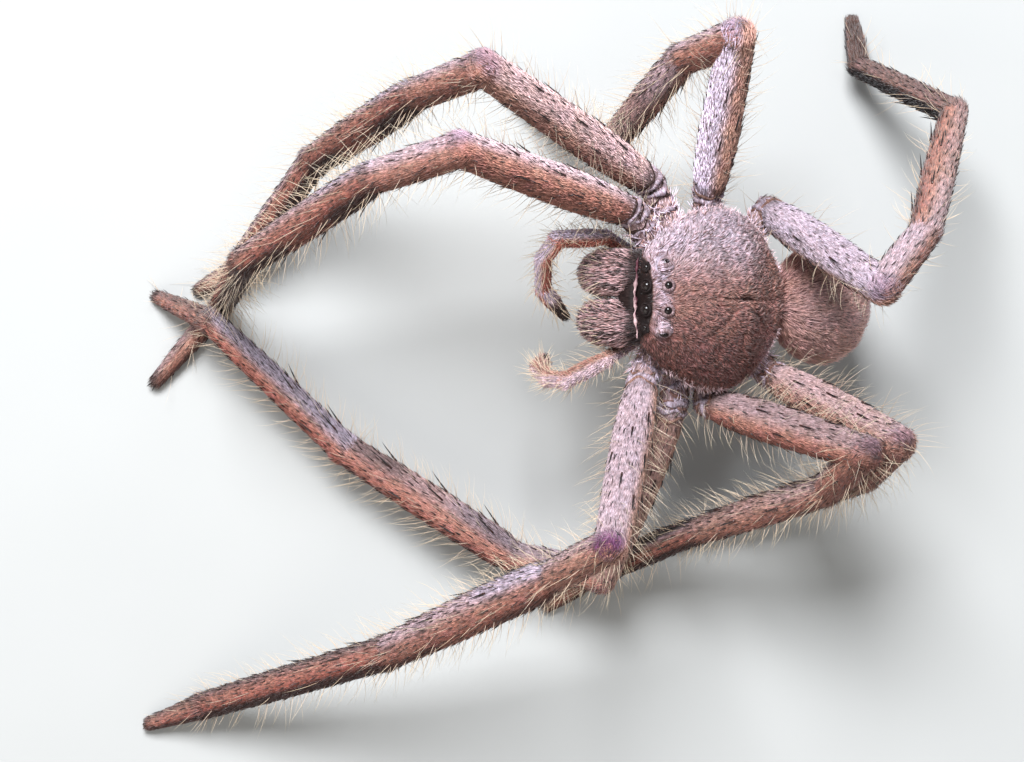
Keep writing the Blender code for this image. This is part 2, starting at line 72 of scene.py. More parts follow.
# Base, knee, patella end, tibia end, metatarsus end and tip of each leg, in millimetres.
LEGS = {
    "R1": [(-5.5, -3.3, 14.5), (-8.6, -14.1, 24.1), (-7.0, -19.5, 22.7), (-2.3, -28.2, 14.6),
               (0.15, -31.4, 1.2), (5.2, -35.9, 0.47)],
    "R2": [(-7.5, -2.0, 13.0), (-13.6, -12.7, 23.4), (-12.5, -17.1, 18.9), (-9.4, -24.3, 8.1),
               (-2.2, -30.5, 1.5), (-1.2, -32.8, 0.47)],
    "R3": [(-6.9, 1.8, 11.6), (-15.9, 2.9, 20.6), (-15.0, -0.3, 16.8), (-10.6, -4.4, 7.9),
               (-14.1, -9.5, 1.6), (-16.2, -12.2, 0.47)],
    "R4": [(-6.0, 6.0, 9.2), (-0.5, 12.1, 19.0), (-4.1, 15.1, 16.9), (-12.4, 18.2, 10.3),
               (-16.5, 13.1, 2.4), (-19.9, 12.9, 0.47)],
    "L1": [(5.4, -2.5, 12.6), (15.4, -4.9, 21.5), (17.7, -8.5, 17.2), (23.4, -19.4, 9.7),
               (28.0, -32.6, 1.8), (29.4, -36.4, 0.47)],
    "L2": [(6.9, -0.4, 11.0), (18.7, -4.9, 5.1), (17.4, -11.0, 3.9), (10.0, -22.6, 3.4),
               (1.2, -31.8, 3.9), (-0.5, -35.8, 0.47)],
    "L3": [(6.8, 1.9, 11.0), (9.8, 10.9, 19.3), (12.3, 9.1, 15.1), (15.5, 1.3, 7.2),
               (19.0, -5.5, 1.5), (21.0, -8.3, 0.47)],
    "L4": [(5.0, 6.3, 9.2), (9.2, 13.1, 18.5), (11.4, 11.7, 14.4), (13.0, 9.8, 4.3),
               (15.9, 0.9, 1.3), (17.1, -2.4, 0.47)],
}
COXA_ROOTS = {"1": (2.9, -2.6, -2.1), "2": (3.3, -0.75, -2.2), "3": (3.3, 1.15, -2.2),
              "4": (2.7, 3.2, -2.0)}
SEGMENTS = ("coxa", "femur", "patella", "tibia", "metatarsus", "tarsus")
# Share along the segment and radius of the solid there.
GIRTHS = {
    "coxa": [(0.0, 0.84), (0.5, 0.95), (1.0, 1.02)],
    "femur": [(0.0, 1.02), (0.14, 1.24), (0.36, 1.38), (0.7, 1.32), (1.0, 1.2)],
    "patella": [(0.0, 1.2), (0.5, 1.2), (1.0, 1.12)],
    "tibia": [(0.0, 1.12), (0.12, 1.16), (0.55, 1.16), (1.0, 1.0)],
    "metatarsus": [(0.0, 1.03), (0.12, 0.98), (0.6, 0.93), (1.0, 0.82)],
    "tarsus": [(0.0, 0.82), (0.5, 0.8), (1.0, 0.6)],
}
# How much thicker than that some legs are beyond the patella.
OUTER_GIRTH = {"R1": 1.08, "R2": 1.12, "L1": 1.24, "L2": 1.16}


def smooth(value):
    """Rises from 0 to 1 with level ends: three times the square less twice the cube."""
    value = np.clip(value, 0.0, 1.0)
    return value * value * (3.0 - 2.0 * value)


def ramp(value, low, high):
    """0 below low, 1 above high, and a smooth rise between them."""
    return smooth((value - low) / (high - low))


def unit(vectors):
    """The same directions with length 1."""
    vectors = np.asarray(vectors, float)
    return vectors / np.maximum(np.linalg.norm(vectors, axis=-1, keepdims=True), 1e-9)


def turned_body():
    """The turn of the body: rolled about its length, then pitched with its front up."""
    cp, sp = math.cos(-BODY_PITCH), math.sin(-BODY_PITCH)
    cr, sr = math.cos(BODY_ROLL), math.sin(BODY_ROLL)
    pitch = np.array([[1, 0, 0], [0, cp, -sp], [0, sp, cp]])
    roll = np.array([[cr, 0, sr], [0, 1, 0], [-sr, 0, cr]])
    return pitch @ roll


BODY_TURN = turned_body()


def over_floor(points):
    """Points of the body's own frame (x to its left, y to its rear, z up) placed over the floor."""
    return np.asarray(points, float) @ BODY_TURN.T + (0.0, BODY_SETBACK, BODY_HEIGHT)


def flowing(points, count):
    """count points on a smooth curve through the given rows: between two rows runs the cubic
    whose slope at each of them is half the step from the row before to the row after."""
    points = np.asarray(points, float)
    padded = np.vstack([2 * points[0] - points[1], points, 2 * points[-1] - points[-2]])
    place = np.linspace(0, len(points) - 1, count)
    first = np.minimum(place.astype(int), len(points) - 2)
    part = (place - first)[:, None]
    a, b, c, d = (padded[first + k] for k in range(4))
    return 0.5 * (2 * b + (c - a) * part + (2 * a - 5 * b + 4 * c - d) * part ** 2
                  + (3 * b - a - 3 * c + d) * part ** 3)


def limb(rows, upper, blunt=0.95):
    """A round limb through rows of x, y, z and radius, with a dome past each end: there the radius
    is the end radius times the root of 1 less the square of the way out. Returns the tables that
    on_limb reads, against the share of the profile's own length."""
    rows = flowing(rows, 160)
    before = rows[0, :3] - unit(rows[1, :3] - rows[0, :3]) * rows[0, 3] * blunt
    after = rows[-1, :3] + unit(rows[-1, :3] - rows[-2, :3]) * rows[-1, 3] * blunt
    bow = np.sin(np.linspace(0, 0.5 * np.pi, 24))[:, None]
    swell = np.sqrt(1 - bow ** 2)
    start = np.hstack([before + (rows[0, :3] - before) * (1 - bow[::-1]), rows[0, 3] * swell[::-1]])
    stop = np.hstack([rows[-1, :3] + (after - rows[-1, :3]) * bow, rows[-1, 3] * swell])
    whole = np.vstack([start[:-1], rows, stop[1:]])
    whole[[0, -1], 3] = 0.0
    centre, radius = whole[:, :3], whole[:, 3]
    ahead = unit(np.gradient(centre, axis=0))
    step = np.hypot(np.linalg.norm(np.diff(centre, axis=0), axis=1), np.diff(radius))
    length = np.concatenate([[0.0], np.cumsum(step)])
    run = np.linalg.norm(np.gradient(centre, axis=0), axis=1)
    rise = np.gradient(radius)
    slope = np.hypot(run, rise)
    beside = unit(np.cross(ahead, np.asarray(upper, float)))
    area = np.concatenate([[0.0], np.cumsum(step * 0.5 * (radius[1:] + radius[:-1]))])
    return {"share": length / length[-1], "centre": centre, "radius": radius, "ahead": ahead,
            "beside": beside, "upper": np.cross(beside, ahead), "run": run / slope, "rise": rise / slope,
            "length": length[-1], "area": area}


def on_limb(tables, share, angle):
    """Places, outward normals and directions along the skin at shares of the profile and angles
    from the upper side: centre plus radius times the outward direction."""
    def read(name):
        table = tables[name]
        if table.ndim == 1:
            return np.interp(share, tables["share"], table)[..., None]
        return np.stack([np.interp(share, tables["share"], table[:, k]) for k in range(3)], -1)

    cos, sin = np.cos(angle)[..., None], np.sin(angle)[..., None]
    outward = unit(read("upper") * cos + read("beside") * sin)
    ahead = unit(read("ahead"))
    place = read("centre") + outward * read("radius")
    normal = unit(outward * read("run") - ahead * read("rise"))
    return place, normal, unit(ahead * read("run") + outward * read("rise"))


def wrapped(rows, columns):
    """Faces of a closed surface: one end point, rows of points round it, and the other end point."""
    ring = 1 + np.arange(rows * columns).reshape(rows, columns)
    turned = np.roll(ring, -1, axis=1)
    quads = np.stack([ring[:-1], turned[:-1], turned[1:], ring[1:]], -1).reshape(-1, 4)
    first = np.stack([np.zeros(columns, int), turned[0], ring[0]], -1)
    last = np.stack([np.full(columns, rows * columns + 1), ring[-1], turned[-1]], -1)
    return [quads, np.vstack([first, last])]


def even_shares(rows):
    """Shares of the way from end to end, the same step apart, without the ends themselves."""
    return np.linspace(0, 1, rows + 2)[1:-1]


def crowded_shares(rows):
    """Shares of the way that lie closer together towards both ends, as a cosine runs."""
    return 0.5 - 0.5 * np.cos(np.pi * even_shares(rows))


def closed_skin(surface, share, columns, spread=(1.0, 1.0), start=0.0):
    """The closed skin of a surface that runs from pole to pole: a ring of points at each of the given
    shares, and the two poles. Returns its points, faces, shares and angles, and its map, which is the
    angle and the share, each times its spread."""
    angle = np.linspace(start, start + TURN, columns, endpoint=False)
    shares, angles = np.meshgrid(share, angle, indexing="ij")
    ends = surface(np.array([0.0, 1.0]), np.array([0.0, 0.0]))
    points = np.vstack([ends[:1], surface(shares, angles).reshape(-1, 3), ends[1:]])
    shares = np.concatenate([[0.0], shares.ravel(), [1.0]])
    angles = np.concatenate([[0.0], angles.ravel(), [0.0]])
    flat = np.stack([angles * spread[0], shares * spread[1]], -1)
    return points, wrapped(len(share), columns), shares, angles, flat


def limb_skin(tables, rows, columns):
    """The closed skin of a limb, with its map in millimetres."""
    return closed_skin(lambda share, angle: on_limb(tables, share, angle)[0], even_shares(rows), columns,
                       (1.1, tables["length"]), -np.pi)


def merged(parts):
    """Several closed skins as one: their points one after another, and their faces counted on."""
    points = np.vstack([part[0] for part in parts])
    starts = np.cumsum([0] + [len(part[0]) for part in parts[:-1]])
    faces = []
    for kind in range(len(parts[0][1])):
        faces.append(np.vstack([part[1][kind] + start for part, start in zip(parts, starts)]))
    return points, faces


def piece(name, points, faces, material, nodes=(), body_slot=None, **attributes):
    """One object at the origin, from points in millimetres over the floor and faces of three or
    four corners, turned outwards: the sum over the faces of corner times cross product is positive.
    Marks given as one row hold for the whole piece."""
    points = (np.asarray(points, float) - CENTRE) * MM
    points[:, 2] = np.maximum(points[:, 2], 0.0)
    volume = 0.0
    for group in faces:
        a, b, c = points[group[:, 0]], points[group[:, 1]], points[group[:, -1]]
        volume += float(np.sum(a * np.cross(b, c)))
    if volume < 0:
        faces = [group[:, ::-1] for group in faces]
    sizes = np.concatenate([np.full(len(group), group.shape[1]) for group in faces])
    corners = np.concatenate([group.ravel() for group in faces]).astype(np.int32)
    mesh = bpy.data.meshes.new(name)
    mesh.vertices.add(len(points))
    mesh.vertices.foreach_set("co", points.astype(np.float32).ravel())
    mesh.loops.add(len(corners))
    mesh.loops.foreach_set("vertex_index", corners)
    mesh.polygons.add(len(sizes))
    mesh.polygons.foreach_set("loop_start", (np.cumsum(sizes) - sizes).astype(np.int32))
    mesh.polygons.foreach_set("use_smooth", np.ones(len(sizes), bool))
    mesh.update(calc_edges=True)
    for key, values in attributes.items():
        values = np.asarray(values, np.float32)
        if key == "marks":
            values = np.broadcast_to(values, (len(points), 4))
        if key in ("OFBake", "SkinMap"):
            layer = mesh.uv_layers.new(name=key)
            layer.data.foreach_set("uv", values[corners].ravel())
        elif values.ndim == 2:
            mesh.attributes.new(key, "FLOAT_COLOR", "POINT").data.foreach_set("color", values.ravel())
        else:
            mesh.attributes.new(key, "FLOAT", "POINT").data.foreach_set("value", values)
    mesh.materials.append(material)
    obj = bpy.data.objects.new(name, mesh)
    bpy.context.scene.collection.objects.link(obj)
    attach(obj, "root")
    if nodes:
        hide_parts(*nodes)
    body_slot or (nodes[0] if nodes else name)
    return obj


# Coat of each segment, with painted light in it: how pale its pale side is, partly its own colour and partly
# a painted sky sheen, the way that side faces over the floor, how many degrees it reaches round, rust of the
# rest, dark of the far side and underside, partly own colour and partly painted shade, and dark of the pale
# side.
# The way towards the light from the sky: past the femur each segment's pale side faces it, painted as a
# sheen.
SKY = (-1.0, 0.0, 0.45)
SEGMENT_COATS_AND_PAINTED_LIGHT = {
    "coxa": (0.4, (0.0, 0.0, 1.0), 70, 0.2, 0.35, 0.0), "patella": (0.65, SKY, 52, 0.5, 0.4, 0.0),
    "tibia": (0.78, SKY, 50, 0.7, 1.0, 0.0), "metatarsus": (0.66, SKY, 50, 0.65, 1.0, 0.05),
    "tarsus": (0.35, SKY, 46, 0.5, 0.85, 0.3),
}
LEG_COATS_AND_PAINTED_LIGHT = {
    ("R1", "femur"): (0.55, (-1.0, 0.0, 0.4), 56, 0.5, 0.35, 0.0),
    ("R2", "femur"): (0.36, (-1.0, 0.0, 0.5), 108, 0.2, 0.25, 0.0),
    ("R3", "femur"): (1.0, (0.0, -1.0, 0.55), 68, 0.14, 0.12, 0.0),
    ("R4", "femur"): (0.85, (-0.2, 0.1, 1.0), 95, 0.2, 0.15, 0.1),
    ("L1", "femur"): (0.66, (0.0, -0.6, 1.0), 82, 0.1, 0.05, 0.1),
    ("L2", "femur"): (0.15, (0.0, 0.0, 1.0), 60, 0.25, 0.2, 0.0),
    ("L3", "femur"): (0.4, (-0.7, 0.2, 0.8), 55, 0.6, 0.4, 0.34),
    ("L4", "femur"): (0.35, (-1.0, 0.0, 0.8), 55, 0.25, 0.25, 0.12),
    ("R3", "tibia"): (0.5, (-0.3, -0.6, 1.0), 80, 0.4, 0.45, 0.0),
    ("R4", "tibia"): (0.35, (0.0, 1.0, 0.6), 60, 0.45, 0.7, 0.0),
    ("R4", "metatarsus"): (0.2, (-1.0, 0.0, 0.6), 60, 0.65, 1.0, 0.5),
    ("R4", "tarsus"): (0.0, (-1.0, 0.0, 0.6), 70, 0.6, 1.0, 0.8),
    ("L1", "patella"): (0.5, (-1.0, -0.2, 0.5), 45, 0.4, 0.3, 0.0),
    ("L1", "tibia"): (1.0, (-1.0, -0.2, 0.55), 46, 0.6, 0.8, 0.0),
    ("L1", "metatarsus"): (0.3, (-1.0, 0.0, 0.2), 40, 0.8, 1.0, 0.65),
    ("L1", "tarsus"): (0.15, (-1.0, 0.0, 0.3), 46, 0.7, 0.9, 0.55),
    ("L2", "tibia"): (0.55, (-1.0, 0.3, 0.8), 36, 0.7, 0.6, 0.15),
    ("L2", "metatarsus"): (0.95, (-0.8, 0.4, 0.7), 46, 0.75, 0.3, 0.45),
    ("L2", "tarsus"): (0.15, (-0.8, 0.4, 0.7), 46, 0.55, 0.5, 0.45),
    ("L3", "tibia"): (0.3, (-1.0, 0.0, 1.0), 50, 0.5, 0.6, 0.15),
    ("L4", "tibia"): (0.3, (-1.0, 0.0, 1.0), 50, 0.35, 0.5, 0.1),
}


def round_from(limb_tables, way):
    """The angle round a limb, from its upper side, at which it faces the given way."""
    middle = len(limb_tables["share"]) // 2
    way = np.asarray(way, float)
    return math.atan2(way @ limb_tables["beside"][middle], way @ limb_tables["upper"][middle])


def degrees_from(angle, middle=0.0):
    """Degrees between an angle and a middle one, the short way round."""
    return np.degrees(np.abs((angle - middle + np.pi) % TURN - np.pi))


def leg_marks(segment, share, angle, name, tables):
    """Shares of pale, rust, dark and violet in the coat of a leg, by segment, by the way along it and by the
    degrees round from its pale side. The pale side faces the light and is partly a painted sky sheen; the
    far side and the underside are darkened partly with painted shade. Joints have dark creases, the soft
    knee skin is violet."""
    pale, way, reach, rust, dark, grey = LEG_COATS_AND_PAINTED_LIGHT.get((name, segment)) or SEGMENT_COATS_AND_PAINTED_LIGHT[segment]
    away = degrees_from(angle, round_from(tables, way))
    lit = 1 - ramp(away, reach - 25, reach + 25)
    below = ramp(degrees_from(angle), 100, 150)
    # Painted light: pale on the side that faces the light, as a sky sheen, and painted shade on the far side
    # and below.
    marks = [pale * lit, rust * (0.75 + 0.5 * ramp(away, 60, 110)) * (1 - 0.6 * lit),
             np.maximum(dark * np.maximum(ramp(away, 92, 126) * 0.88, below), grey * lit), 0 * away]
    if segment == "coxa":
        return np.clip(np.stack(marks, -1), 0, 1)
    line = np.exp(-((share - 0.045) / 0.02) ** 2) + np.exp(-((share - 0.965) / 0.02) ** 2)
    if segment == "femur":
        collar = 1 - ramp(share, 0.1, 0.13)
        line = line + 0.9 * np.exp(-((share - 0.135) / 0.012) ** 2)
        marks[0] = np.maximum(marks[0], 0.65 * collar)
        marks[3] = (0.95 if name == "L1" else 0.35) * ramp(share, 0.85, 0.92) * lit
    elif segment == "patella":
        marks[3] = (0.8 if name == "L1" else 0.3) * (1 - ramp(share, 0.1, 0.34)) * (1 - ramp(away, 50, 90))
    if segment in ("tibia", "metatarsus"):
        broken = ramp(np.sin(share * 34.0 + 2.0 * np.sin(away * 0.2)), -0.2, 0.5)
        marks[2] = np.maximum(marks[2], 0.7 * np.exp(-((away - reach - 8) / 6.0) ** 2) * broken)
    if segment == "tibia":
        bands = ramp(share, 0.3, 0.4) * (1 - ramp(share, 0.56, 0.68))
        marks[0] = marks[0] * (0.6 + 0.6 * (1 - ramp(share, 0.3, 0.45)))
        marks[2] = marks[2] * (1.0 - 0.55 * bands)
    elif segment == "metatarsus":
        marks[2] = np.maximum(marks[2], 0.8 * ramp(share, 0.84, 0.93) * (1 - ramp(share, 0.96, 1.0)))
    elif segment == "tarsus":
        marks[2] = np.maximum(marks[2], 0.75 * ramp(share, 0.74, 0.95))
    marks[2] = np.maximum(marks[2], 0.6 * line * (1 - marks[3]))
    return np.clip(np.stack(marks, -1), 0, 1)


def thickness(name, segment, share, radius):
    """Radius of a leg's skin: the solid's radius, greater by the leg's own share beyond the patella
    (rising over the first eighth of the tibia, falling over half the tarsus), less the fur."""
    extra = OUTER_GIRTH.get(name, 1.0) - 1.0
    reach = {"tibia": min(share / 0.12, 1.0), "metatarsus": 1.0, "tarsus": max(0.0, 1.0 - 2.0 * share)}
    return radius * (1.0 + extra * reach.get(segment, 0.0)) - FUR_DEPTH


def leg_limbs(name):
    """The six segments of a leg as limbs with the skin's radius, and the side that faces up on each."""
    side = 1.0 if name[0] == "L" else -1.0
    root = over_floor(np.array(COXA_ROOTS[name[1]]) * (side, 1.0, 1.0))
    joints = [root] + [np.array(point) for point in LEGS[name]]
    across = unit(np.cross(joints[2] - joints[1], joints[4] - joints[3]))
    found = []
    for segment, start, end in zip(SEGMENTS, joints[:-1], joints[1:]):
        rows = [(*(start + (end - start) * share), thickness(name, segment, share, radius))
                for share, radius in GIRTHS[segment]]
        found.append((segment, limb(rows, np.cross(unit(end - start), across)), start, end))
    return found


def node(tree, kind, **settings):
    """A new node with the named settings."""
    made = tree.nodes.new(kind)
    for key, value in settings.items():
        setattr(made, key, value)
    return made


def feed(tree, socket, value):
    """Links an output to a socket, or sets the socket to a plain value."""
    if isinstance(value, bpy.types.NodeSocket):
        tree.links.new(value, socket)
    elif isinstance(value, tuple) and len(value) == 3 and socket.type == "RGBA":
        socket.default_value = (*value, 1.0)
    else:
        socket.default_value = value


def sums(tree, operation, first, second=0.5, third=0.0):
    """One arithmetic step between values."""
    made = node(tree, "ShaderNodeMath", operation=operation)
    for socket, value in zip(made.inputs, (first, second, third)):
        feed(tree, socket, value)
    return made.outputs[0]


def blended(tree, factor, first, second, mode="MIX"):
    """Two colours blended by a factor."""
    made = node(tree, "ShaderNodeMix", data_type="RGBA", blend_type=mode)
    for socket, value in zip((made.inputs[0], made.inputs[6], made.inputs[7]), (factor, first, second)):
        feed(tree, socket, value)
    return made.outputs[2]


def noise(tree, vector, scale, detail=3.0, rough=0.55):
    """A cloudy value between 0 and 1."""
    made = node(tree, "ShaderNodeTexNoise")
    feed(tree, made.inputs["Vector"], vector)
    made.inputs["Scale"].default_value = scale
    made.inputs["Detail"].default_value = detail
    made.inputs["Roughness"].default_value = rough
    return made.outputs["Fac"]


def ramped(tree, value, low, high):
    """The value stretched so that low is 0 and high is 1."""
    made = node(tree, "ShaderNodeMapRange", interpolation_type="SMOOTHSTEP")
    for socket, given in zip(made.inputs, (value, low, high)):
        feed(tree, socket, given)
    return made.outputs[0]


def stored(tree, name):
    """A value that each piece stores under the name."""
    return node(tree, "ShaderNodeAttribute", attribute_name=name).outputs["Fac"]


def own_place(tree):
    """The object's own coordinates."""
    return node(tree, "ShaderNodeTexCoord").outputs["Object"]


def relief(tree, shader, height, strength, distance):
    """Bump on a shader, from a height and the distance in metres that a height of 1 stands for."""
    bump = node(tree, "ShaderNodeBump")
    bump.inputs["Strength"].default_value = strength
    bump.inputs["Distance"].default_value = distance
    feed(tree, bump.inputs["Height"], height)
    feed(tree, shader.inputs["Normal"], bump.outputs[0])


def group(name, inputs, outputs):
    """An empty node group with named sockets, and its two end nodes."""
    tree = bpy.data.node_groups.new(name, "ShaderNodeTree")
    for key, kind in inputs:
        tree.interface.new_socket(key, in_out="INPUT", socket_type=kind)
    for key, kind in outputs:
        tree.interface.new_socket(key, in_out="OUTPUT", socket_type=kind)
    return tree, tree.nodes.new("NodeGroupInput"), tree.nodes.new("NodeGroupOutput")


# The five colours of skin and fur, which the marks mix.
TAN = (0.69, 0.44, 0.345)
PALE = (0.79, 0.715, 0.87)
RUST = (0.52, 0.165, 0.118)
DARK = (0.018, 0.008, 0.008)
VIOLET = (0.23, 0.045, 0.21)


def markings_group():
    """Colour of skin and coat from the marks: tan, then rust, pale, violet and dark over it, each by
    its own share, made uneven by a cloudy value and by the tone of the single hair."""
    tree, given, out = group("markings", [("Marks", "NodeSocketColor"), ("Violet", "NodeSocketFloat"),
                                          ("Tone", "NodeSocketFloat")], [("Colour", "NodeSocketColor")])
    place = own_place(tree)
    cloud = noise(tree, place, 900.0, 3.0)
    fine = noise(tree, place, 3600.0, 2.0)
    split = node(tree, "ShaderNodeSeparateColor")
    feed(tree, split.inputs[0], given.outputs["Marks"])
    shift = sums(tree, "MULTIPLY_ADD", cloud, 0.9, -0.45)
    colour = blended(tree, sums(tree, "ADD", split.outputs[1], shift), TAN, RUST)
    colour = blended(tree, sums(tree, "MULTIPLY_ADD", shift, 0.5, split.outputs[0]), colour, PALE)
    colour = blended(tree, given.outputs["Violet"], colour, VIOLET)
    colour = blended(tree, split.outputs[2], colour, DARK)
    light = sums(tree, "MULTIPLY_ADD", ramped(tree, fine, 0.36, 0.64), 0.36, 0.22)
    light = sums(tree, "ADD", light, sums(tree, "MULTIPLY", given.outputs["Tone"], 0.85))
    grey = node(tree, "ShaderNodeCombineColor")
    for socket in grey.inputs[:3]:
        feed(tree, socket, light)
    feed(tree, out.inputs["Colour"], blended(tree, 1.0, colour, grey.outputs[0], "MULTIPLY"))
    return tree


def streaks_group():
    """Short hair that lies flat, as a height: two cloudy values drawn out along the skin's map."""
    tree, given, out = group("fur_streaks", [("Map", "NodeSocketVector"), ("Across", "NodeSocketFloat")],
                             [("Height", "NodeSocketFloat")])
    split = node(tree, "ShaderNodeSeparateXYZ")
    feed(tree, split.inputs[0], given.outputs["Map"])
    heights = []
    for scales in ((1.0, 0.16), (2.3, 0.3)):
        drawn = node(tree, "ShaderNodeCombineXYZ")
        for target, source, scale in zip(drawn.inputs, split.outputs, scales):
            stretch = sums(tree, "MULTIPLY", given.outputs["Across"], scale)
            feed(tree, target, sums(tree, "MULTIPLY", source, stretch))
        heights.append(noise(tree, drawn.outputs[0], 1.0, 2.0))
    height = sums(tree, "MULTIPLY_ADD", heights[1], 0.6, sums(tree, "MULTIPLY", heights[0], 0.4))
    feed(tree, out.inputs["Height"], ramped(tree, height, 0.35, 0.65))
    return tree


MARKINGS = markings_group()
STREAKS = streaks_group()


def blank_material(name, rough, sheen=0.0, coat=0.0):
    """A material with one Principled shader and its plain values."""
    made = bpy.data.materials.new(name)
    made.use_nodes = True
    tree = made.node_tree
    shader = tree.nodes["Principled BSDF"]
    shader.inputs["Roughness"].default_value = rough
    shader.inputs["Sheen Weight"].default_value = sheen
    shader.inputs["Coat Weight"].default_value = coat
    shader.inputs["Specular IOR Level"].default_value = 0.5 if coat else 0.25
    return made, tree, shader


def marked_colour(tree, tone):
    """The markings group fed from the piece's own marks and the given tone."""
    marks = node(tree, "ShaderNodeAttribute", attribute_name="marks")
    used = node(tree, "ShaderNodeGroup", node_tree=MARKINGS)
    feed(tree, used.inputs["Marks"], marks.outputs["Color"])
    feed(tree, used.inputs["Violet"], marks.outputs["Alpha"])
    feed(tree, used.inputs["Tone"], tone)
    return used.outputs["Colour"]


def skin_material(name, across=9.0, shade=(0.42, 0.30, 0.28)):
    """Cuticle under short flat hair: the markings, darker between the hairs, partly the skin's own darker
    colour and partly painted shade of the gaps in the coat, with the hairs as bump.
    """
    made, tree, shader = blank_material(name, 0.62)
    streak = node(tree, "ShaderNodeGroup", node_tree=STREAKS)
    feed(tree, streak.inputs["Map"], node(tree, "ShaderNodeUVMap", uv_map="SkinMap").outputs[0])
    streak.inputs["Across"].default_value = across
    height = streak.outputs["Height"]
    colour = marked_colour(tree, 0.35)
    # painted shade in the gaps between the flat hairs, over the skin's own darker colour
    painted_gap_shade = blended(tree, 1.0, colour, shade, "MULTIPLY")
    feed(tree, shader.inputs["Base Color"], blended(tree, height, painted_gap_shade, colour))
    feed(tree, shader.inputs["Roughness"], sums(tree, "MULTIPLY_ADD", height, 0.25, 0.5))
    relief(tree, shader, height, 0.6, 0.05 * MM)
    return made


LEG_SKIN = skin_material("leg_cuticle")
LONG_SEGMENT = 6.0


def limb_piece(prefix, segments, columns, marker, name):
    """The skin of all segments of a leg or palp as one piece, in more rows where a segment is long."""
    skins = [limb_skin(tables, 46 if tables["length"] > LONG_SEGMENT else 30, columns)
             for _, tables, *_ in segments]
    points, faces = merged(skins)
    marks = np.vstack([marker(segment, skin[2], skin[3], name, tables)
                       for (segment, tables, *_), skin in zip(segments, skins)])
    nodes = ["%s_%s" % (prefix, part) for part in ("femur", "coxa", "tibia", "tarsus")]
    piece(prefix + "_skin", points, faces, LEG_SKIN, nodes, marks=marks,
          SkinMap=np.vstack([skin[4] for skin in skins]))


leg_segments = {name: leg_limbs(name) for name in LEGS}
for name, segments in leg_segments.items():
    limb_piece("leg_" + name, segments, 40, leg_marks, name)

# Short fur of the legs
# Flat hair of half a millimetre covers every segment and points to the foot, pale on the side that catches
# the light, partly as a painted sky sheen, rusty on the flanks, dark below and on the far side, partly as
# painted shade, with stiff black bristles among it.
BAKE_PATCH = 0.003


def scattered(count, start=0):
    """count pairs of numbers from 0 to 1 spread evenly: each is the last plus a fixed share, less its
    whole part."""
    number = np.arange(start + 1, start + count + 1)[:, None]
    return (0.5 + number * np.array([0.7548776662466927, 0.5698402909980532])) % 1.0


def chances(count, seed, columns=6):
    """Rows of even random numbers that are the same each run."""
    return np.random.default_rng(seed).random((count, columns))


def strands(root, up, lie, length, width, lift, bend, steps=1):
    """Closed three-sided hairs. Each leaves its root at the angle lift from the lie and turns towards
    the lie by the share bend along its length; its width falls to a point at the tip. Returns points,
    faces, the share along the hair and the number of the hair at each point."""
    count = len(root)
    share = np.linspace(0.0, 1.0, steps + 1)
    angle = lift[:, None] * (1.0 - bend[:, None] * share[None, :])
    ahead = np.cos(angle)[..., None] * lie[:, None] + np.sin(angle)[..., None] * up[:, None]
    step = ahead[:, :-1] * (length / steps)[:, None, None]
    centre = root[:, None] - up[:, None] * width[:, None, None] * 0.4 + np.concatenate(
        [np.zeros((count, 1, 3)), np.cumsum(step, axis=1)], axis=1)
    beside = unit(np.cross(lie, up))[:, None]
    above = unit(np.cross(beside, ahead))
    girth = 0.5 * width[:, None] * (1.0 - share[None, :-1] ** 2)
    turns = np.array([0.5, 7.0 / 6.0, 11.0 / 6.0]) * np.pi
    corner = (np.cos(turns)[None, None, :, None] * beside[:, :, None]
              + np.sin(turns)[None, None, :, None] * above[:, :-1, None])
    rings = centre[:, :-1, None] + corner * girth[..., None, None]
    points = np.concatenate([rings.reshape(count, -1, 3), centre[:, -1:]], axis=1)
    size = 3 * steps + 1
    local = [(0, 2, 1)]
    for ring in range(steps - 1):
        for side in range(3):
            a, b = 3 * ring + side, 3 * ring + (side + 1) % 3
            local += [(a, b, b + 3), (a, b + 3, a + 3)]
    last = 3 * (steps - 1)
    local += [(last + side, last + (side + 1) % 3, size - 1) for side in range(3)]
    faces = (np.array(local)[None] + (np.arange(count) * size)[:, None, None]).reshape(-1, 3)
    along = np.concatenate([np.repeat(share[:-1], 3), [1.0]])
    return points.reshape(-1, 3), faces, np.tile(along, count), np.repeat(np.arange(count), size)


def held_in(root, direction, length):
    """The length cut so that the tip stays in the CAD model's box and over the floor."""
    low = np.array(cad_low) / MM + CENTRE + (0.0, 0.0, 0.05)
    high = np.array(cad_high) / MM + CENTRE
    reach = direction * length[:, None]
    room = np.where(reach > 0, high - root, root - low) / np.maximum(np.abs(reach), 1e-6)
    return length * np.clip(room.min(axis=1), 0.05, 1.0)


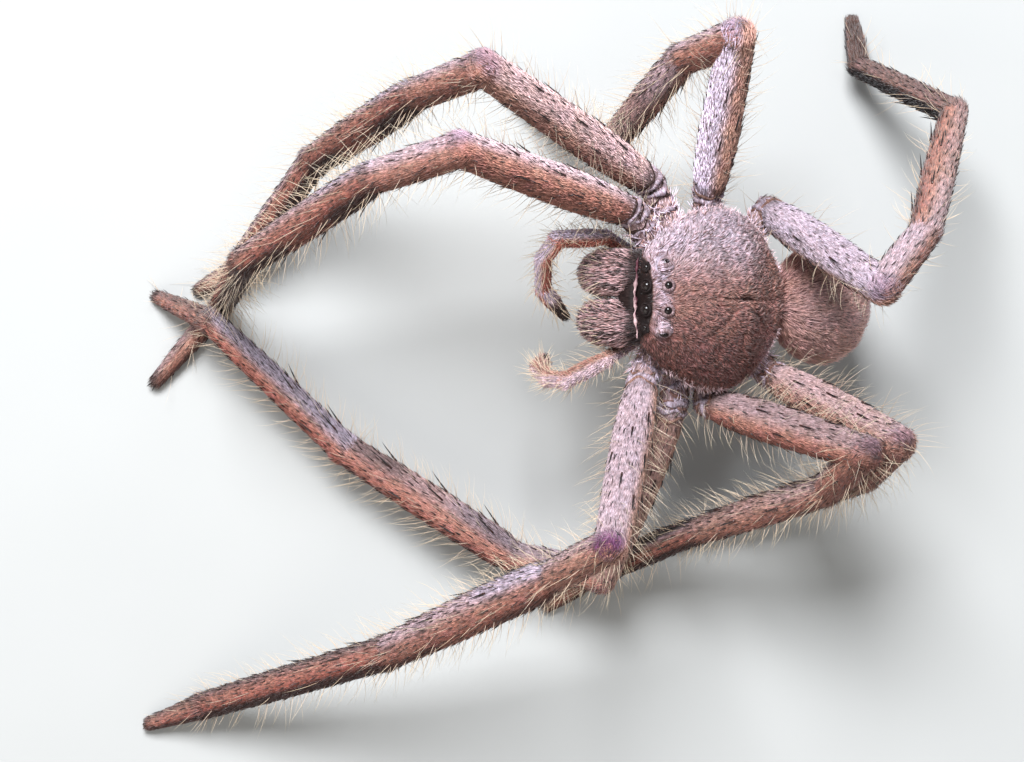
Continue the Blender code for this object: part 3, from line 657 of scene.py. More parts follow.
def hair_piece(name, material, roots, body_slot, seed, length, width, lift,
               bend=(0.3, 0.9), steps=1, jitter=0.25, tone=(0.0, 1.0)):
    """A coat piece, from the place, normal, lie, marks and place on a map of each root. Every hair's
    length, width, lift, bend and tone lie between the two values given, and its lie turns about the
    normal by up to jitter."""
    root, up, lie = roots["place"], roots["normal"], roots["lie"]
    luck = chances(len(root), seed)

    def between(pair, column):
        return pair[0] + (pair[1] - pair[0]) * luck[:, column]

    turn = (luck[:, 5] - 0.5) * 2.0 * jitter
    lie = unit(lie - up * np.sum(lie * up, axis=1, keepdims=True))
    lie = lie * np.cos(turn)[:, None] + np.cross(up, lie) * np.sin(turn)[:, None]
    angle = between(lift, 2)
    toward = unit(lie * np.cos(angle * 0.7)[:, None] + up * np.sin(angle * 0.7)[:, None])
    reach = held_in(root, toward, between(length, 0))
    points, faces, along, number = strands(root, up, lie, reach, between(width, 1), angle,
                                           between(bend, 3), steps)
    corner = (np.arange(len(points)) % (3 * steps + 1) % 3) * TURN / 3
    spot = np.stack([np.cos(corner), np.sin(corner)], -1) * (1.0 - 0.8 * along[:, None])
    return piece(name, points, [faces], material, body_slot=body_slot,
                 marks=np.broadcast_to(roots["marks"], (len(root), 4))[number], strand=along,
                 tone=between(tone, 4)[number], OFBake=roots["flat"][number] + spot * BAKE_PATCH * 0.5)


def coat_material(name, rough=0.6, painted_root_shade=(0.58, 0.44, 0.40), tip_light=1.45):
    """Hair with the skin's markings, darker at the root with painted shade among the hairs and lighter at
    the tip, with a faint sheen.
    """
    made, tree, shader = blank_material(name, rough, sheen=0.15)
    tone = stored(tree, "tone")
    # painted shade: each hair darkens towards its root, where the coat around it shades it
    light = blended(tree, stored(tree, "strand"), painted_root_shade, (tip_light, tip_light, tip_light))
    feed(tree, shader.inputs["Base Color"], blended(tree, 1.0, marked_colour(tree, tone), light, "MULTIPLY"))
    feed(tree, shader.inputs["Roughness"], sums(tree, "MULTIPLY_ADD", tone, 0.2, rough - 0.1))
    return made


def limb_roots(segments, density, seed, marker, name=""):
    """Roots spread evenly over the skin of several segments, so many to the square millimetre: their
    place, normal, lie, marks, share and segment, and their place on a map with a band to a segment."""
    found = []
    for index, (segment, tables, *_) in enumerate(segments):
        count = int(density * tables["area"][-1] * TURN)
        pair = scattered(count, seed * 977 + index * 131)
        share = np.interp(pair[:, 0] * tables["area"][-1], tables["area"], tables["share"])
        angle = (pair[:, 1] * 2 - 1) * np.pi
        place, normal, along = on_limb(tables, share, angle)
        flat = np.stack([0.02 + 0.96 * pair[:, 1], (index + 0.03 + 0.94 * share) / len(segments)], -1)
        found.append({"place": place, "normal": normal, "lie": along, "flat": flat, "share": share,
                      "marks": marker(segment, share, angle, name, tables),
                      "segment": np.full(count, segment)})
    return {key: np.concatenate([roots[key] for roots in found]) for key in found[0]}


def thinned(roots, kept):
    """The roots that the mask keeps."""
    return {key: column[kept] for key, column in roots.items()}


def repeated(roots, times):
    """Each root so many times, for hairs that stand in bunches."""
    return {key: np.repeat(column, times, axis=0) for key, column in roots.items()}


COAT = coat_material("short_fur")
# The body's fur has a deeper, warmer painted shade at its roots.
BODY_COAT = coat_material("body_fur", painted_root_shade=(0.42, 0.25, 0.21), tip_light=1.4)
BLACK_HAIR = (0.0, 0.1, 0.97, 0.0)
LEG_FUR_PER_MM2 = 66.0
LEG_BRISTLES_PER_MM2 = 2.6
BLACK_SHARE = 0.035
FOLDS_SHARE = 0.3
INNER_BRISTLES_SHARE = 0.6
for order, (name, segments) in enumerate(leg_segments.items()):
    roots = limb_roots(segments, LEG_FUR_PER_MM2, order, leg_marks, name)
    share, segment = roots["share"], roots["segment"]
    luck = chances(len(share), order + 500, 2)
    roots["marks"][luck[:, 0] < BLACK_SHARE] = BLACK_HAIR
    folds = (segment == "femur") & (share < 0.13) | (segment == "coxa") & (share > 0.5) & (share < 0.9)
    hair_piece("leg_%s_coat" % name, COAT, thinned(roots, ~folds | (luck[:, 1] < FOLDS_SHARE)),
               "leg_%s_femur" % name, order, length=(0.4, 0.8), width=(0.055, 0.105), lift=(0.05, 0.2),
               jitter=0.22, tone=(0.22, 0.8))
    roots = limb_roots(segments, LEG_BRISTLES_PER_MM2, order + 7, leg_marks, name)
    outer = np.isin(roots["segment"], ("tibia", "metatarsus"))
    roots = thinned(roots, outer | (chances(len(outer), order + 560, 1)[:, 0] < INNER_BRISTLES_SHARE))
    roots["marks"][:] = BLACK_HAIR
    roots["place"] += roots["normal"] * 0.08
    hair_piece("leg_%s_bristles" % name, COAT, roots, "leg_%s_femur" % name, order + 30,
               length=(0.35, 0.8), width=(0.055, 0.1), lift=(0.08, 0.3), steps=2, jitter=0.2)

# Long hairs of the legs
# Fine pale cream hairs stand well out from every segment, most of them on the tibia and metatarsus
# and on the flanks, each bent a little to the foot.
CREAM = (0.60, 0.47, 0.24)


def long_hair_material():
    """Fine straw-coloured hair, browner at the root and nearly white at its tip."""
    made, tree, shader = blank_material("long_hair", 0.4)
    colour = blended(tree, stored(tree, "tone"), CREAM, (0.78, 0.68, 0.50))
    root, tip = blended(tree, 0.6, colour, TAN), blended(tree, 0.35, colour, (0.9, 0.85, 0.7))
    feed(tree, shader.inputs["Base Color"], blended(tree, stored(tree, "strand"), root, tip))
    shader.inputs["Sheen Weight"].default_value = 0.2
    return made


LONG_HAIR = long_hair_material()
LONG_HAIRS_PER_MM2 = {"coxa": 1.6, "femur": 2.6, "patella": 2.6, "tibia": 3.6, "metatarsus": 3.0,
                      "tarsus": 0.8}
DENSEST = max(LONG_HAIRS_PER_MM2.values())
for order, (name, segments) in enumerate(leg_segments.items()):
    roots = limb_roots(segments, DENSEST, order + 20, leg_marks, name)
    wanted = sum(density * (roots["segment"] == segment)
                 for segment, density in LONG_HAIRS_PER_MM2.items()) / DENSEST
    wanted = wanted * (1.0 - 0.8 * ramp(roots["normal"][:, 2], 0.3, 0.65)) * (0.35 if name == "R4" else 1.0)
    roots = thinned(roots, chances(len(wanted), order + 40, 1)[:, 0] < wanted)
    hair_piece("leg_%s_long_hair" % name, LONG_HAIR, roots, "leg_%s_femur" % name, order + 60,
               length=(1.2, 3.0), width=(0.024, 0.04), lift=(0.65, 1.3), bend=(0.1, 0.75), steps=3,
               jitter=0.5)

# Folds at the roots of the legs
# Between coxa and femur lies the short trochanter, where the leg swings. Its bare pale cuticle is
# gathered in ridges round the leg with dark soft skin between them.
PALE_FOLD = (0.85, 0.1, 0.0, 0.0)
DARK_FOLD = (0.0, 0.2, 0.9, 0.0)
# How much of the dark each leg's folds show, 0.35 where none is given.
DARK_SHARE = {"R1": 1.0, "R2": 1.0, "R3": 0.6}
# Segment, share along it, radius of the ridge and its marks.
FOLDS = (("femur", 0.125, 0.10, DARK_FOLD), ("femur", 0.095, 0.15, PALE_FOLD),
         ("femur", 0.065, 0.09, DARK_FOLD), ("femur", 0.04, 0.16, PALE_FOLD),
         ("coxa", 0.84, 0.10, DARK_FOLD), ("coxa", 0.76, 0.17, PALE_FOLD),
         ("coxa", 0.67, 0.10, DARK_FOLD), ("coxa", 0.58, 0.16, PALE_FOLD))
FOLD_SHAPE = (52, 8)


def ring_piece(name, rings, shape, steps, marks, material, body_slot):
    """Round tubes bent to closed rings, as one piece. The shape is the points round a ring and round
    its tube, steps are theirs on the map in millimetres, and each ring has its own row of marks."""
    ring = np.arange(shape[0] * shape[1]).reshape(shape)
    turned, ahead = np.roll(ring, -1, axis=1), np.roll(ring, -1, axis=0)
    quads = [np.stack([ring, turned, np.roll(ahead, -1, axis=1), ahead], -1).reshape(-1, 4)]
    points, faces = merged([(ring_points, quads) for ring_points in rings])
    flat = np.meshgrid(np.arange(shape[0]) * steps[0], np.arange(shape[1]) * steps[1], indexing="ij")
    piece(name, points, faces, material, body_slot=body_slot, marks=np.repeat(marks, ring.size, axis=0),
          SkinMap=np.tile(np.stack(flat, -1).reshape(-1, 2), (len(rings), 1)))


def fold_ring(tables, share, radius, phase):
    """A ridge round a limb: a round tube on its skin at the given share, which sways to and fro along
    the limb by a wave of the angle and swells and thins by another."""
    angle = np.linspace(0, TURN, FOLD_SHAPE[0], endpoint=False)
    sway = (0.22 * np.sin(angle * 2 + phase) + 0.1 * np.sin(angle * 5 + 2 * phase)) / tables["length"]
    place, normal, along = on_limb(tables, share + sway, angle)
    thick = radius * (1 + 0.35 * np.sin(angle * 3 + phase * 1.7))[:, None, None]
    turn = np.linspace(0, TURN, FOLD_SHAPE[1], endpoint=False)[None, :, None]
    outward = np.cos(turn) * along[:, None] + np.sin(turn) * normal[:, None]
    return (place[:, None] + thick * outward).reshape(-1, 3)


for order, (name, segments) in enumerate(leg_segments.items()):
    limbs = {segment: tables for segment, tables, *_ in segments}
    rings = [fold_ring(limbs[segment], share, radius, order + 40 * share)
             for segment, share, radius, _ in FOLDS]
    marks = np.array([marks for *_, marks in FOLDS])
    marks[:, 2] *= DARK_SHARE.get(name, 0.35)
    ring_piece("leg_%s_folds" % name, rings, FOLD_SHAPE, (0.14, 0.12), marks, LEG_SKIN, "leg_%s_coxa" % name)

# White tufts at the roots of the legs
# The coxae carry loose white tufts of longer hair that stand up between the legs and
# hide the joints under the rim of the shield.
TUFTS_PER_MM2 = 2.6
TUFT_HAIRS = 8
for order, (name, segments) in enumerate(leg_segments.items()):
    roots = limb_roots(segments[:1], TUFTS_PER_MM2, order + 50, leg_marks, name)
    roots = repeated(thinned(roots, (roots["normal"][:, 2] > -0.4) & (roots["share"] < 0.62)), TUFT_HAIRS)
    luck = chances(len(roots["share"]), order + 55)
    spread = (luck[:, :3] - 0.5) * 0.16
    roots["lie"] = unit(roots["lie"] * (luck[:, 3:4] - 0.25) + spread * 4.0)
    roots["place"] += spread
    roots["marks"][:] = (0.9, 0.0, 0.0, 0.0)
    roots["marks"][luck[:, 4] < 0.2] = (0.1, 0.2, 0.1, 0.0)
    hair_piece("leg_%s_root_tufts" % name, COAT, roots, "leg_%s_coxa" % name, order + 58,
               length=(0.5, 1.1), width=(0.04, 0.075), lift=(0.25, 0.8), steps=2, jitter=0.25,
               tone=(0.8, 1.3))

# Spines of the legs
# Stiff black spines a couple of millimetres long sit in sockets in rows along femur, tibia and
# metatarsus. They lean to the foot, the lower pairs are the longest.
# Share along the segment, degrees round from its upper side, and length.
SPINES = {
    "femur": [(0.24, 8, 1.4), (0.48, -6, 1.5), (0.74, 6, 1.4), (0.36, 48, 1.3), (0.64, 54, 1.4),
              (0.36, -48, 1.3), (0.66, -54, 1.4), (0.5, 100, 1.2)],
    "tibia": [(0.14, 150, 1.8), (0.14, -150, 1.8), (0.44, 150, 1.9), (0.44, -150, 1.9), (0.74, 150, 1.7),
              (0.74, -150, 1.7), (0.3, 78, 1.4), (0.62, 80, 1.4), (0.3, -78, 1.4), (0.62, -80, 1.4)],
    "metatarsus": [(0.12, 150, 1.7), (0.12, -150, 1.7), (0.44, 150, 1.5), (0.44, -150, 1.5), (0.2, 75, 1.3),
                   (0.2, -75, 1.3)],
}
SPINE_WIDTH = 0.14


def glossy_material(name, coat, grain, colours, roughness, along=False):
    """Smooth horn or glass under a clear coat. The grain is the scale and detail of a cloudy value
    that mixes two colours and two roughnesses; along a spine the colours run from root to tip."""
    made, tree, shader = blank_material(name, roughness[0], coat=coat)
    cloud = noise(tree, own_place(tree), *grain)
    mix = ramped(tree, stored(tree, "strand"), 0.0, 0.4) if along else cloud
    feed(tree, shader.inputs["Base Color"], blended(tree, mix, *colours))
    rough = sums(tree, "MULTIPLY_ADD", cloud, roughness[1] - roughness[0], roughness[0])
    feed(tree, shader.inputs["Roughness"], rough)
    return made


def spines(root, direction, up, length, width, rows, curl, columns=8):
    """Closed tapered spines: rings of points round a line that bends up by curl times the square of
    the way along; the radius is half the width, times the root of 1 less the way, with a rounded root."""
    count = len(root)
    share = np.linspace(0.0, 1.0, rows)
    girth = 0.5 * width * np.sqrt(np.clip(1.0 - share, 0.0, 1.0)) ** 1.4
    turn = np.linspace(0, TURN, columns, endpoint=False)
    line = (root[:, None] + direction[:, None] * (share[None, :, None] * length[:, None, None])
            + up[:, None] * (curl * share[None, :, None] ** 2 * length[:, None, None]))
    beside = unit(np.cross(direction, up))
    above = unit(np.cross(beside, direction))
    ring = np.cos(turn)[None, :, None] * beside[:, None] + np.sin(turn)[None, :, None] * above[:, None]
    body = line[:, :-1, None] + ring[:, None] * girth[None, :-1, None, None]
    points = np.concatenate([root[:, None], body.reshape(count, -1, 3), line[:, -1:]], axis=1)
    size = points.shape[1]
    faces = []
    for part in wrapped(rows - 1, columns):
        faces.append((part[None] + (np.arange(count) * size)[:, None, None]).reshape(-1, part.shape[1]))
    along = np.concatenate([[0.0], np.repeat(share[:-1], columns), [1.0]])
    return points.reshape(-1, 3), faces, np.tile(along, count)


def horn_piece(name, found, body_slot, width, rows=9, curl=0.05):
    """Spines or claws as one piece, from the root, direction, upper side and length of each."""
    roots, ways, ups, lengths = (np.array(column) for column in zip(*found))
    ways = unit(ways)
    points, faces, along = spines(roots, ways, ups, held_in(roots, ways, lengths), width, rows, curl)
    piece(name, points, faces, SPINE_HORN, body_slot=body_slot, strand=along)


SPINE_HORN = glossy_material("spine_horn", 0.3, (9000.0, 2.0), ((0.05, 0.016, 0.012), (0.008, 0.006, 0.007)),
                             (0.15, 0.45), along=True)
for order, (name, segments) in enumerate(leg_segments.items()):
    found = []
    for segment, tables, start, end in segments:
        solid_share = np.linalg.norm(end - start) / tables["length"]
        for share, turn, length in SPINES.get(segment, ()):
            at = np.array([0.5 + (share - 0.5) * solid_share])
            (place,), (normal,), (along,) = on_limb(tables, at, np.radians([turn]))
            stands = (order * 7 + int(share * 100)) % 5 > 3
            lean = math.radians(3.0 + 7.0 * (abs(turn) > 120) + 9.0 * stands)
            way = along * math.cos(lean) + normal * math.sin(lean)
            found.append((place + normal * 0.06, way, normal, length))
    horn_piece("leg_%s_spines" % name, found, "leg_%s_tibia" % name, SPINE_WIDTH)

# Claws
# Each foot ends in two small hooked claws over a pad of short black hair, which holds on to leaves.
found = []
for name, segments in leg_segments.items():
    *_, start, end = segments[-1]
    ahead = unit(end - start)
    up = unit(np.array([0.0, 0.0, 1.0]) - ahead * ahead[2])
    beside = np.cross(ahead, up)
    for side in (-1.0, 1.0):
        root = end + ahead * 0.42 + beside * 0.13 * side + up * 0.18
        found.append((root, ahead + beside * 0.25 * side + up * 0.25, -up, 0.55))
horn_piece("claws", found, "leg_R1_tarsus", 0.16, rows=8, curl=0.45)

# Carapace
# The shield over the front of the body: a low dome of cuticle, blunt at the head, widest behind the
# middle, with a dark pit in its centre. Its short fur runs back and outwards from the eyes.
CARAPACE_FRONT = -5.5
CARAPACE_REAR = 5.2
CARAPACE_HALF_WIDTH = 5.95
CARAPACE_FRONT_HALF_WIDTH = 3.4
HEAD_TOP = 2.95
CARAPACE_TOP = 3.65
RIM_HEIGHT = 0.5
OUTLINE_POWER = 0.3
HEIGHT_POWER = 0.34
PIT = (0.0, 1.0)
SHIELD_MIDDLE = (0.0, 0.0, 0.6)


def carapace_surface(share, angle, depth=FUR_DEPTH):
    """A point of the shield in the body's frame, depth below the solid: share runs from its front to
    its rear and angle round it from its left rim over the top. The half width grows as a sine to 0.55
    of the length and falls as a power after it; the height is a plateau that drops to the rear; both
    are blunted at the ends by powers of the ring of a ball. A pit and shallow furrows are pressed in
    on top."""
    ring = np.sqrt(np.clip(1.0 - (1.0 - 2.0 * share) ** 2, 0.0, 1.0))
    grow = np.sin(0.5 * np.pi * np.clip(share / 0.55, 0, 1)) ** 0.9
    wide = CARAPACE_FRONT_HALF_WIDTH + (CARAPACE_HALF_WIDTH - CARAPACE_FRONT_HALF_WIDTH) * grow
    fall = CARAPACE_HALF_WIDTH * (1.0 - 0.5 * np.clip((share - 0.55) / 0.45, 0, 1) ** 2.4)
    half_width = np.where(share < 0.55, wide, fall) - depth
    top = HEAD_TOP + (CARAPACE_TOP - HEAD_TOP) * smooth(share / 0.4) - depth
    top = top - 2.1 * smooth((share - 0.6) / 0.4)
    across, upward = np.cos(angle), np.sin(angle)
    x = half_width * across * ring ** OUTLINE_POWER
    y = CARAPACE_FRONT + depth + (CARAPACE_REAR - CARAPACE_FRONT - 2 * depth) * share
    over = RIM_HEIGHT + (top - RIM_HEIGHT) * upward * ring ** HEIGHT_POWER
    under = RIM_HEIGHT + (0.75 - depth) * upward * ring ** HEIGHT_POWER
    z = np.where(upward > 0, over, under)
    away = np.hypot((x - PIT[0]) / 0.16, (y - PIT[1]) / 0.6)
    pit = 0.4 * np.exp(-away ** 2)
    round_pit = np.arctan2(x - PIT[0], y - PIT[1])
    reach = np.hypot(x - PIT[0], y - PIT[1])
    furrow = 0.09 * np.clip(np.cos(round_pit * 8.0), 0, 1) ** 3
    furrow = furrow * ramp(reach, 0.6, 1.6) * (1 - ramp(reach, 3.0, 4.6))
    z = z - np.where(upward > 0.2, pit + furrow, 0.0)
    return np.stack([x, y, z], -1)


def small_steps(surface, share, angle, step=1e-3):
    """How far a surface moves at a small step of its share and at one of its angle."""
    return (surface(share + step, angle) - surface(share - step, angle),
            surface(share, angle + step) - surface(share, angle - step))


def surface_frame(surface, share, angle, middle):
    """Places on a surface, and its normals there, which point away from the middle."""
    place, normal = surface(share, angle), unit(np.cross(*small_steps(surface, share, angle)))
    inside = np.sum(normal * (place - middle), axis=1) < 0
    return place, np.where(inside[:, None], -normal, normal)


def unrolled(share, angle):
    """Places on a map of a whole surface, a little inside its edges."""
    return np.stack([0.02 + 0.96 * (angle % TURN) / TURN, 0.02 + 0.96 * share], -1)


def surface_roots(surface, count, seed, middle):
    """Roots spread evenly over a surface: many candidates are kept or dropped by the size of the
    patch that a small step of each parameter spans there."""
    pair = scattered(count * 6, seed)
    share, angle = np.clip(pair[:, 0], 0.002, 0.998), pair[:, 1] * TURN
    size = np.linalg.norm(np.cross(*small_steps(surface, share, angle)), axis=-1)
    size = np.minimum(size, np.percentile(size, 97))
    kept = chances(len(size), seed + 3, 1)[:, 0] * size.sum() < size * count
    share, angle = share[kept], angle[kept]
    place, normal = surface_frame(surface, share, angle, middle)
    return {"place": place, "normal": normal, "flat": unrolled(share, angle)}


def carapace_marks(points):
    """Marks of the shield by place: pale over its front right, a painted sky sheen where it faces the light,
    and in a bar across the eyes; darkened and rustier to the left with painted shade, away from the light;
    pale again at the rear left, dark in the pit and in a mask over the face."""
    x, y, z = points[:, 0], points[:, 1], points[:, 2]
    # Painted sky sheen: paler over the front right, which faces the light.
    right = ramp(-x, 0.2, 3.6) * (1 - ramp(y, 0.5, 4.5))
    brow = np.exp(-((y + 4.66) / 0.4) ** 2) * (1 - ramp(np.abs(x), 2.6, 3.3)) * ramp(z, 1.4, 2.2)
    pale = 0.05 + 0.75 * right + 0.75 * brow + 0.25 * ramp(x, 1.5, 3.5) * ramp(y, 1.5, 4.2)
    rim = 1 - ramp(z, 0.4, 1.0)
    # More rust to the left is partly painted shade away from the light.
    rust = 0.34 + 0.4 * ramp(x, 0, 4) + 0.12 * rim - 0.25 * right - 0.2 * brow
    pit = 0.75 * np.exp(-np.hypot((x - PIT[0]) / 0.22, (y - PIT[1]) / 0.55) ** 2)
    face = ramp(-y, 4.98, 5.1) * (1 - ramp(np.abs(x), 2.5, 2.9)) * ramp(z, -0.5, 0.2)
    # Painted shade, darker to the left, away from the light, and less towards the rear.
    shade = 0.12 * ramp(x, -2.2, 0.2) + 0.36 * ramp(x, 0.2, 3.5)
    shade = shade * (1 - 0.9 * ramp(y, 1.5, 4.0)) * (1 - brow)
    dark = np.maximum(np.maximum(pit, 0.98 * face), shade)
    rosy = 0.08 * (1 - right) * (1 - face)
    return np.clip(np.stack([pale * (1 - face), rust, dark, rosy], -1), 0, 1)


# The body's skin gets a deeper, warmer painted shade between its hairs.
BODY_SKIN = skin_material("body_cuticle", across=8.0, shade=(0.2, 0.08, 0.06))
points, faces, shares, angles, flat = closed_skin(carapace_surface, crowded_shares(150), 168, (4.0, 10.0))
piece("carapace_skin", over_floor(points), faces, BODY_SKIN, ["carapace"],
      marks=carapace_marks(points), SkinMap=flat)
skin_places, skin_normals = surface_frame(carapace_surface, shares[1:-1], angles[1:-1], SHIELD_MIDDLE)

# The eyes of one side, round which nothing grows.
EYE_SPOTS = ((0.76, -5.38), (1.95, -5.26), (0.79, -4.25), (2.3, -4.3))
EYE_CLEARANCE = 0.4
CARAPACE_HAIRS = 24000
DARK_HAIR_SHARE = 0.13
RIM_HAIRS = 1000
roots = surface_roots(carapace_surface, CARAPACE_HAIRS, 11, SHIELD_MIDDLE)
x, y, z = roots["place"].T
clear = np.ones(len(x), bool)
for eye_x, eye_y in EYE_SPOTS:
    clear &= np.hypot(np.abs(x) - eye_x, y - eye_y) > EYE_CLEARANCE
clear |= z < 1.0
bare = (y < -5.0) & (np.abs(x) < 2.9) | (z < 0.4)
clear &= ~bare | (chances(len(x), 77, 1)[:, 0] < 0.2)
roots = thinned(roots, clear)
place, normal = roots["place"], roots["normal"]
x, y, z = place.T
lie = unit(place - (0.0, -6.5, 2.0))
lie = unit(lie - normal * np.sum(lie * normal, axis=1, keepdims=True))
swirl = 0.5 * np.sin(2.9 * x + 1.4 * np.sin(2.1 * y)) * np.cos(2.6 * y)
swirl = (swirl + 0.4 * np.sin(8.3 * x + 3.0 * np.cos(5.1 * y)))[:, None]
marks = carapace_marks(place)
marks[chances(len(place), 78, 1)[:, 0] < DARK_HAIR_SHARE] = (0.0, 0.6, 0.8, 0.0)
roots["place"], roots["normal"], roots["marks"] = over_floor(place), normal @ BODY_TURN.T, marks
roots["lie"] = (lie * np.cos(swirl) + np.cross(normal, lie) * np.sin(swirl)) @ BODY_TURN.T
hair_piece("carapace_coat", BODY_COAT, roots, "carapace", 211, length=(0.34, 0.66), width=(0.06, 0.12),
           lift=(0.1, 0.42), steps=2, jitter=0.35, tone=(0.05, 0.76))

# The fringe of the shield hangs over its rim.
luck = chances(RIM_HAIRS, 215)
left = luck[:, 1] < 0.5
share = 0.5 - 0.5 * np.cos(np.pi * (0.3 + 0.7 * luck[:, 0]))
angle = np.where(left, 0.0, np.pi) + (luck[:, 2] - 0.35) * 0.5 * np.where(left, 1.0, -1.0)
place, normal = surface_frame(carapace_surface, np.clip(share, 0.01, 0.99), angle, SHIELD_MIDDLE)
roots = {"place": over_floor(place), "normal": normal @ BODY_TURN.T, "lie": unit(place) @ BODY_TURN.T,
         "marks": (0.5, 0.15, 0.0, 0.0), "flat": unrolled(share, angle)}
hair_piece("carapace_fringe", COAT, roots, "carapace", 216, length=(0.35, 0.7), width=(0.045, 0.08),
           lift=(0.15, 0.5), steps=2, jitter=0.4, tone=(0.5, 1.0))

# Eyes
# Eight glossy black eyes in two rows on the front of the head, each a clear dome in a raised ring of
# skin, black in the front row and pale in the rear one. The rear side eyes stand on low mounds.
def ball_surface(centre, half, turn=None):
    """A ball stretched to three half lengths: pole to pole along y, turned by the given matrix."""
    def surface(share, angle):
        polar = np.pi * share
        points = np.stack([np.sin(polar) * np.cos(angle) * half[0], -np.cos(polar) * half[1] + 0 * angle,
                           np.sin(polar) * np.sin(angle) * half[2]], -1)
        return (points if turn is None else points @ turn.T) + centre
    return surface


def standing_box(name):
    """Centre and half lengths of a CAD node, in millimetres over the floor."""
    low, high = (np.array(corner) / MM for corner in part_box(name))
    return (low + high) * 0.5 + CENTRE, (high - low) * 0.5


def eye_ring(centre, way, radius, width, height):
    """A raised ring of skin round an eye: a circle about the way it looks, with an oval section that
    is lower on its outer side and waves a little."""
    first = unit(np.cross(way, (0.3, 0.1, 1.0)))
    second = np.cross(way, first)
    turn = np.linspace(0, TURN, RING_SHAPE[0], endpoint=False)[:, None]
    round_tube = np.linspace(0, TURN, RING_SHAPE[1], endpoint=False)[None]
    wave = 1 + 0.12 * np.sin(turn * 5 + radius * 30)
    reach = radius + width * (np.cos(round_tube) + 0.55) * wave
    up = height * (np.sin(round_tube) - 0.5 * np.cos(round_tube)) * wave
    flat = np.cos(turn)[..., None] * first + np.sin(turn)[..., None] * second
    return (centre + flat * reach[..., None] + way * up[..., None]).reshape(-1, 3)


EYE_GLASS = glossy_material("eye_glass", 0.15, (2500.0, 1.0), ((0.004, 0.003, 0.004), (0.016, 0.009, 0.007)),
                            (0.03, 0.09))
EYE_GLASS.node_tree.nodes["Principled BSDF"].inputs["Specular IOR Level"].default_value = 0.3
RING_SHAPE = (48, 16)
# Share of the solid eye that shows as glass, width and height of the ring round it, how far it
# turns outwards, and the ring's marks.
EYE_RINGS = {
    "front_middle": (0.9, 0.07, 0.08, 0.0, (0.0, 0.0, 0.99, 0.0)),
    "front_side": (0.62, 0.1, 0.06, 0.0, (0.0, 0.0, 0.99, 0.0)),
    "rear_middle": (0.95, 0.11, 0.13, 0.0, (0.5, 0.3, 0.1, 0.0)),
    "rear_side": (1.0, 0.1, 0.12, 1.4, (0.5, 0.2, 0.1, 0.0)),
}
ring_points, ring_marks = [], []
for row, (shown, width, height, outward, marks) in EYE_RINGS.items():
    for side, word in ((1.0, "left"), (-1.0, "right")):
        name = "eye_%s_%s" % (row, word)
        centre, half = standing_box(name)
        radius = float(half.mean()) * shown
        points, faces, *_ = closed_skin(ball_surface(centre, [radius] * 3), even_shares(30), 40)
        piece(name + "_dome", points, faces, EYE_GLASS, [name])
        body_place = (centre - (0.0, BODY_SETBACK, BODY_HEIGHT)) @ BODY_TURN
        near = np.argmin(np.linalg.norm(skin_places - body_place, axis=1))
        way = unit(skin_normals[near] + np.array([outward * side, 0.0, 0.0])) @ BODY_TURN.T
        ring_points.append(eye_ring(centre + way * 0.1, way, radius + 0.04 - 0.6 * width, width, height))
        ring_marks.append(marks)
        if outward:
            hood_middle = centre - BODY_TURN @ (0.2 * side, 0.0, 0.04)
            hood = ball_surface(hood_middle, (0.44, 0.5, 0.42), BODY_TURN)
            points, faces, *_ = closed_skin(hood, even_shares(24), 32)
            piece("brow_" + word, points, faces, BODY_SKIN, body_slot="carapace",
                  marks=(0.7, 0.15, 0.0, 0.0), SkinMap=points[:, :2])
            roots = surface_roots(hood, 260, 71, hood_middle)
            roots.update(lie=(0.3 * side, 1.0, 0.0), marks=(0.75, 0.1, 0.0, 0.0))
            hair_piece("brow_%s_coat" % word, BODY_COAT, roots, "carapace", 217, length=(0.2, 0.4),
                       width=(0.05, 0.08), lift=(0.1, 0.3), steps=2, jitter=0.4)
ring_piece("eye_rings", ring_points, RING_SHAPE, (0.08, 0.05), ring_marks, BODY_SKIN, "carapace")

# Face
# Below the front eyes the face is a black band crossed by a thin bare strip, plum at its right end
# and pinkish white along the rest, the edge that the jaws hang from.
def strip_surface(share, angle):
    """A thin bar bent round the front of the head: its middle line follows the shield's outline, and
    its thickness falls to nothing at both ends and varies by two waves between them."""
    x = -2.6 + 5.2 * share
    wave = 0.035 * np.sin(x * 3.7) + 0.02 * np.sin(x * 9.1 + 1.0)
    y = CARAPACE_FRONT - 0.14 + 0.03 * x ** 2 + wave
    thick = np.clip(np.sin(np.pi * share), 0, 1) ** 0.3
    thick = thick * (0.75 + 0.3 * np.sin(x * 5.3) + 0.2 * np.sin(x * 13.0))
    y = y + 0.13 * np.cos(angle) * thick
    return np.stack([x + 0 * angle, y, 0.8 + 0.12 * np.sin(angle) * thick], -1)


def strip_material():
    """Bare skin, plum to the right of the given places of x and patchy pink to the left of them."""
    made, tree, shader = blank_material("face_strip", 0.45)
    place = own_place(tree)
    cloud = noise(tree, place, 2600.0, 3.0)
    split = node(tree, "ShaderNodeSeparateXYZ")
    feed(tree, split.inputs[0], place)
    left = ramped(tree, split.outputs[0], -6.5 * MM, -4.8 * MM)
    pink = sums(tree, "MULTIPLY", ramped(tree, cloud, 0.36, 0.58), left)
    feed(tree, shader.inputs["Base Color"], blended(tree, pink, (0.085, 0.025, 0.035), (0.56, 0.38, 0.38)))
    relief(tree, shader, cloud, 0.4, 0.03 * MM)
    return made


